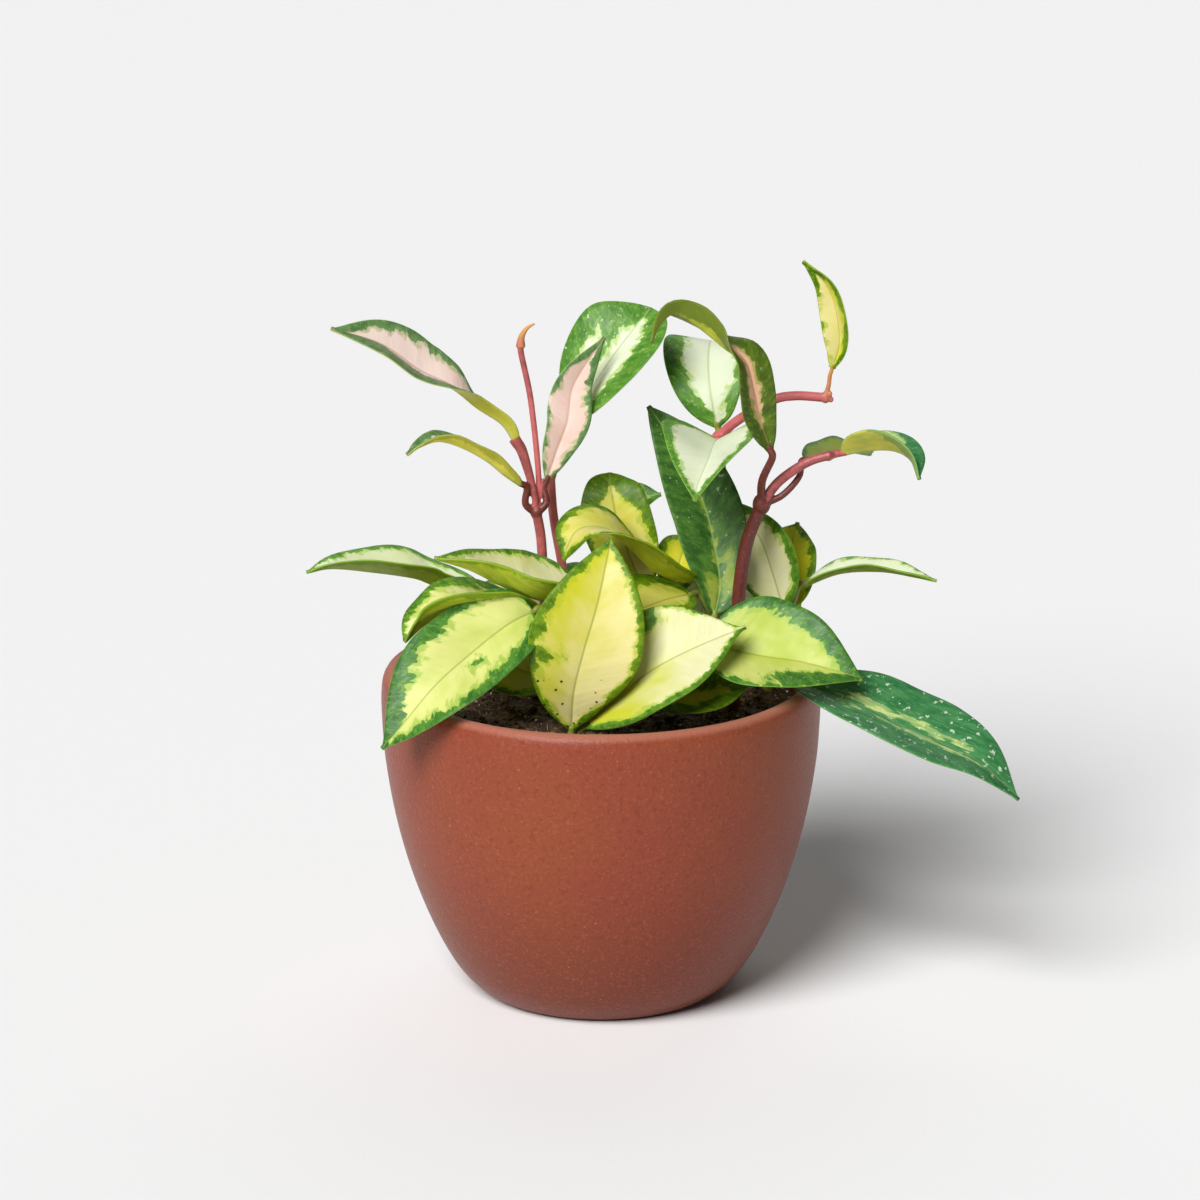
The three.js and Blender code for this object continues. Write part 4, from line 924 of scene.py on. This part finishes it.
leaf("leaf_d1", half=5.2, fold=40, wide=0.45, wave=0.3, skin=sunny, slot="yellow_leaf",
     rib=[(68, 14, 186), (70, 14, 193), (69, 14, 203), (66, 14, 211), (59, 14, 218)],
     face=[(-0.4, -0.9, 0)], margin=(-0.6, 0.4, 0.7, 1.5), tip=7, glow=(0.35, 0.7, 0), flecks=0.02,
     jag=0.6)
stem("vine_right_middle", "pink_stem", 1.7,
     [(32, 1, 90), (33, 3, 98), (34, 10, 112), (35, 16.5, 128), (36, 21, 145), (34.5, 20.5, 163)],
     [([(34.5, 20.5, 163), (40, 17, 169), (50, 14, 176), (57, 14, 177.5), (66, 14, 177)],
       1.5, 1.4, pink, pink),
      stalk("leaf_f", (33.4, 6, 104), thick=1.3, thin=1.1, low=tan),
      stalk("leaf_t2", (34.2, 11, 114), [(33, 9.5, 120)]),
      stalk("leaf_w", (33.6, 7, 107), [(31.5, 6, 115)]),
      stalk("leaf_p", (33, 3, 97), [(29, -9, 106)], thick=1.4, thin=1.2),
      stalk("leaf_e1", (35.8, 21, 151), low=rose),
      stalk("leaf_e2", (34.6, 20.5, 162), low=pink, high=pink),
      stalk("leaf_d1", (66, 14, 177), [(67, 14, 181)],
            thick=0.75, thin=0.6, low=(0.3, 0.0, 0.3), high=(0.5, 0.2, 0.8))],
     buds=[(34.5, 20.5, 163, 1.8), (66, 14, 177, 1.5), (67.4, 13.6, 178.2, 0.7), (67.7, 14, 176.4, 0.8)],
     crown=rose)

# Right back stem with three leaves
# A short green stem near the rim at the right, behind the dark one.

leaf("leaf_g", half=10, fold=24, wide=0.45, skin=cream, slot="pale_leaf",
     rib=[(54, 9, 114), (51, 10, 124), (47, 11, 135), (39, 13, 146)],
     face=[(-0.2, -1, 0.1)], margin=(0.6, 0.8, 2.4, 2.6), glow=(0.1, 0, 0), jag=0.7)
leaf("leaf_h", half=8, fold=28, skin=sunny, slot="olive_leaf",
     rib=[(57, 15, 112), (57, 19, 121), (57, 26, 128), (59, 34, 133)],
     face=[(0, -0.8, 0.6)], margin=(1.2, 1.4, 1.8, 2.0), glow=(1.1, 0, 0), flecks=0.04)
leaf("leaf_i", half=10, fold=22, wide=0.42, skin=frosted, slot="cream_leaf", sides=(0.7, 0.45),
     rib=[(61, 11, 121), (71, 10, 125), (83, 8, 126), (93, 5, 125), (99, 3, 124)],
     face=[(0, 0.1, 1)], margin=(0.6, 0.8, 1.4, 1.0), glow=(0.2, 0, 0), jag=0.6)
stem("vine_right_back", "green_stem", 1.8, [(50, 13, 90), (51, 13, 96), (54, 12.5, 106)],
     [stalk("leaf_g", (53, 12.7, 102)), stalk("leaf_h", (54, 12.5, 105)),
      stalk("leaf_i", (54, 12.5, 105), [(57, 11.5, 115)])])

# Back stems and their five leaves
# Two short stems fill the back of the planter. Three leaves hang over the rim, two stay above it.

leaf("leaf_back_low", half=15, fold=15, wide=0.48, wave=0.5, skin=lagoon, slot="cream_leaf",
     rib=[(-11, 40, 99), (-19, 50, 104), (-27, 61, 103), (-35, 70, 93)],
     face=[(-0.2, 0.2, 1)], margin=(2.4, 3.4, 2.8, 4.0), glow=(0.4, 0, 0))
leaf("leaf_back_middle", half=15, fold=15, wide=0.48, wave=0.5, skin=shade, slot="green_leaf",
     rib=[(4, 41, 100), (9, 51, 106), (14, 62, 104), (20, 72, 94)],
     face=[(0.1, 0.3, 1)], margin=(8, 12, 9, 12), glow=(0.6, 0, 0), flecks=0.2)
leaf("leaf_back_centre", half=12, fold=20, wide=0.48, skin=shade, slot="green_leaf",
     rib=[(-6, 37, 101), (-9, 42, 106), (-14, 48, 109), (-22, 55, 108)],
     face=[(0, -0.3, 1)], margin=(7, 9, 7, 9), glow=(0.6, 0, 0), flecks=0.12)
stem("vine_back", "green_stem", 1.8, [(-4, 33, 90), (-4, 33, 94), (-4, 33.5, 98)],
     [stalk("leaf_back_centre", (-4, 33.4, 96)), stalk("leaf_back_low", (-4, 33.1, 93)),
      stalk("leaf_back_middle", (-4, 33.2, 94))])

leaf("leaf_back_right", half=15, fold=16, wide=0.48, wave=0.5, skin=cream, slot="cream_leaf",
     rib=[(33, 35, 99), (42, 43, 106), (51, 51, 105), (60, 57, 96)],
     face=[(0.2, 0.2, 1)], margin=(2.6, 3.6, 2.2, 3.0), glow=(0.35, 0, 0))
leaf("leaf_back_high", half=13, fold=20, wide=0.48, skin=frosted, slot="cream_leaf",
     rib=[(29, 30, 104), (34, 34, 112), (40, 41, 117), (48, 50, 116)],
     face=[(0, -0.2, 1)], margin=(2.0, 3.0, 2.4, 3.4), glow=(0.2, 0, 0))
stem("vine_back_right", "green_stem", 1.7, [(27, 30, 90), (27, 30, 94), (26.5, 30, 98)],
     [stalk("leaf_back_right", (27, 30, 93)), stalk("leaf_back_high", (26.6, 30, 97))])
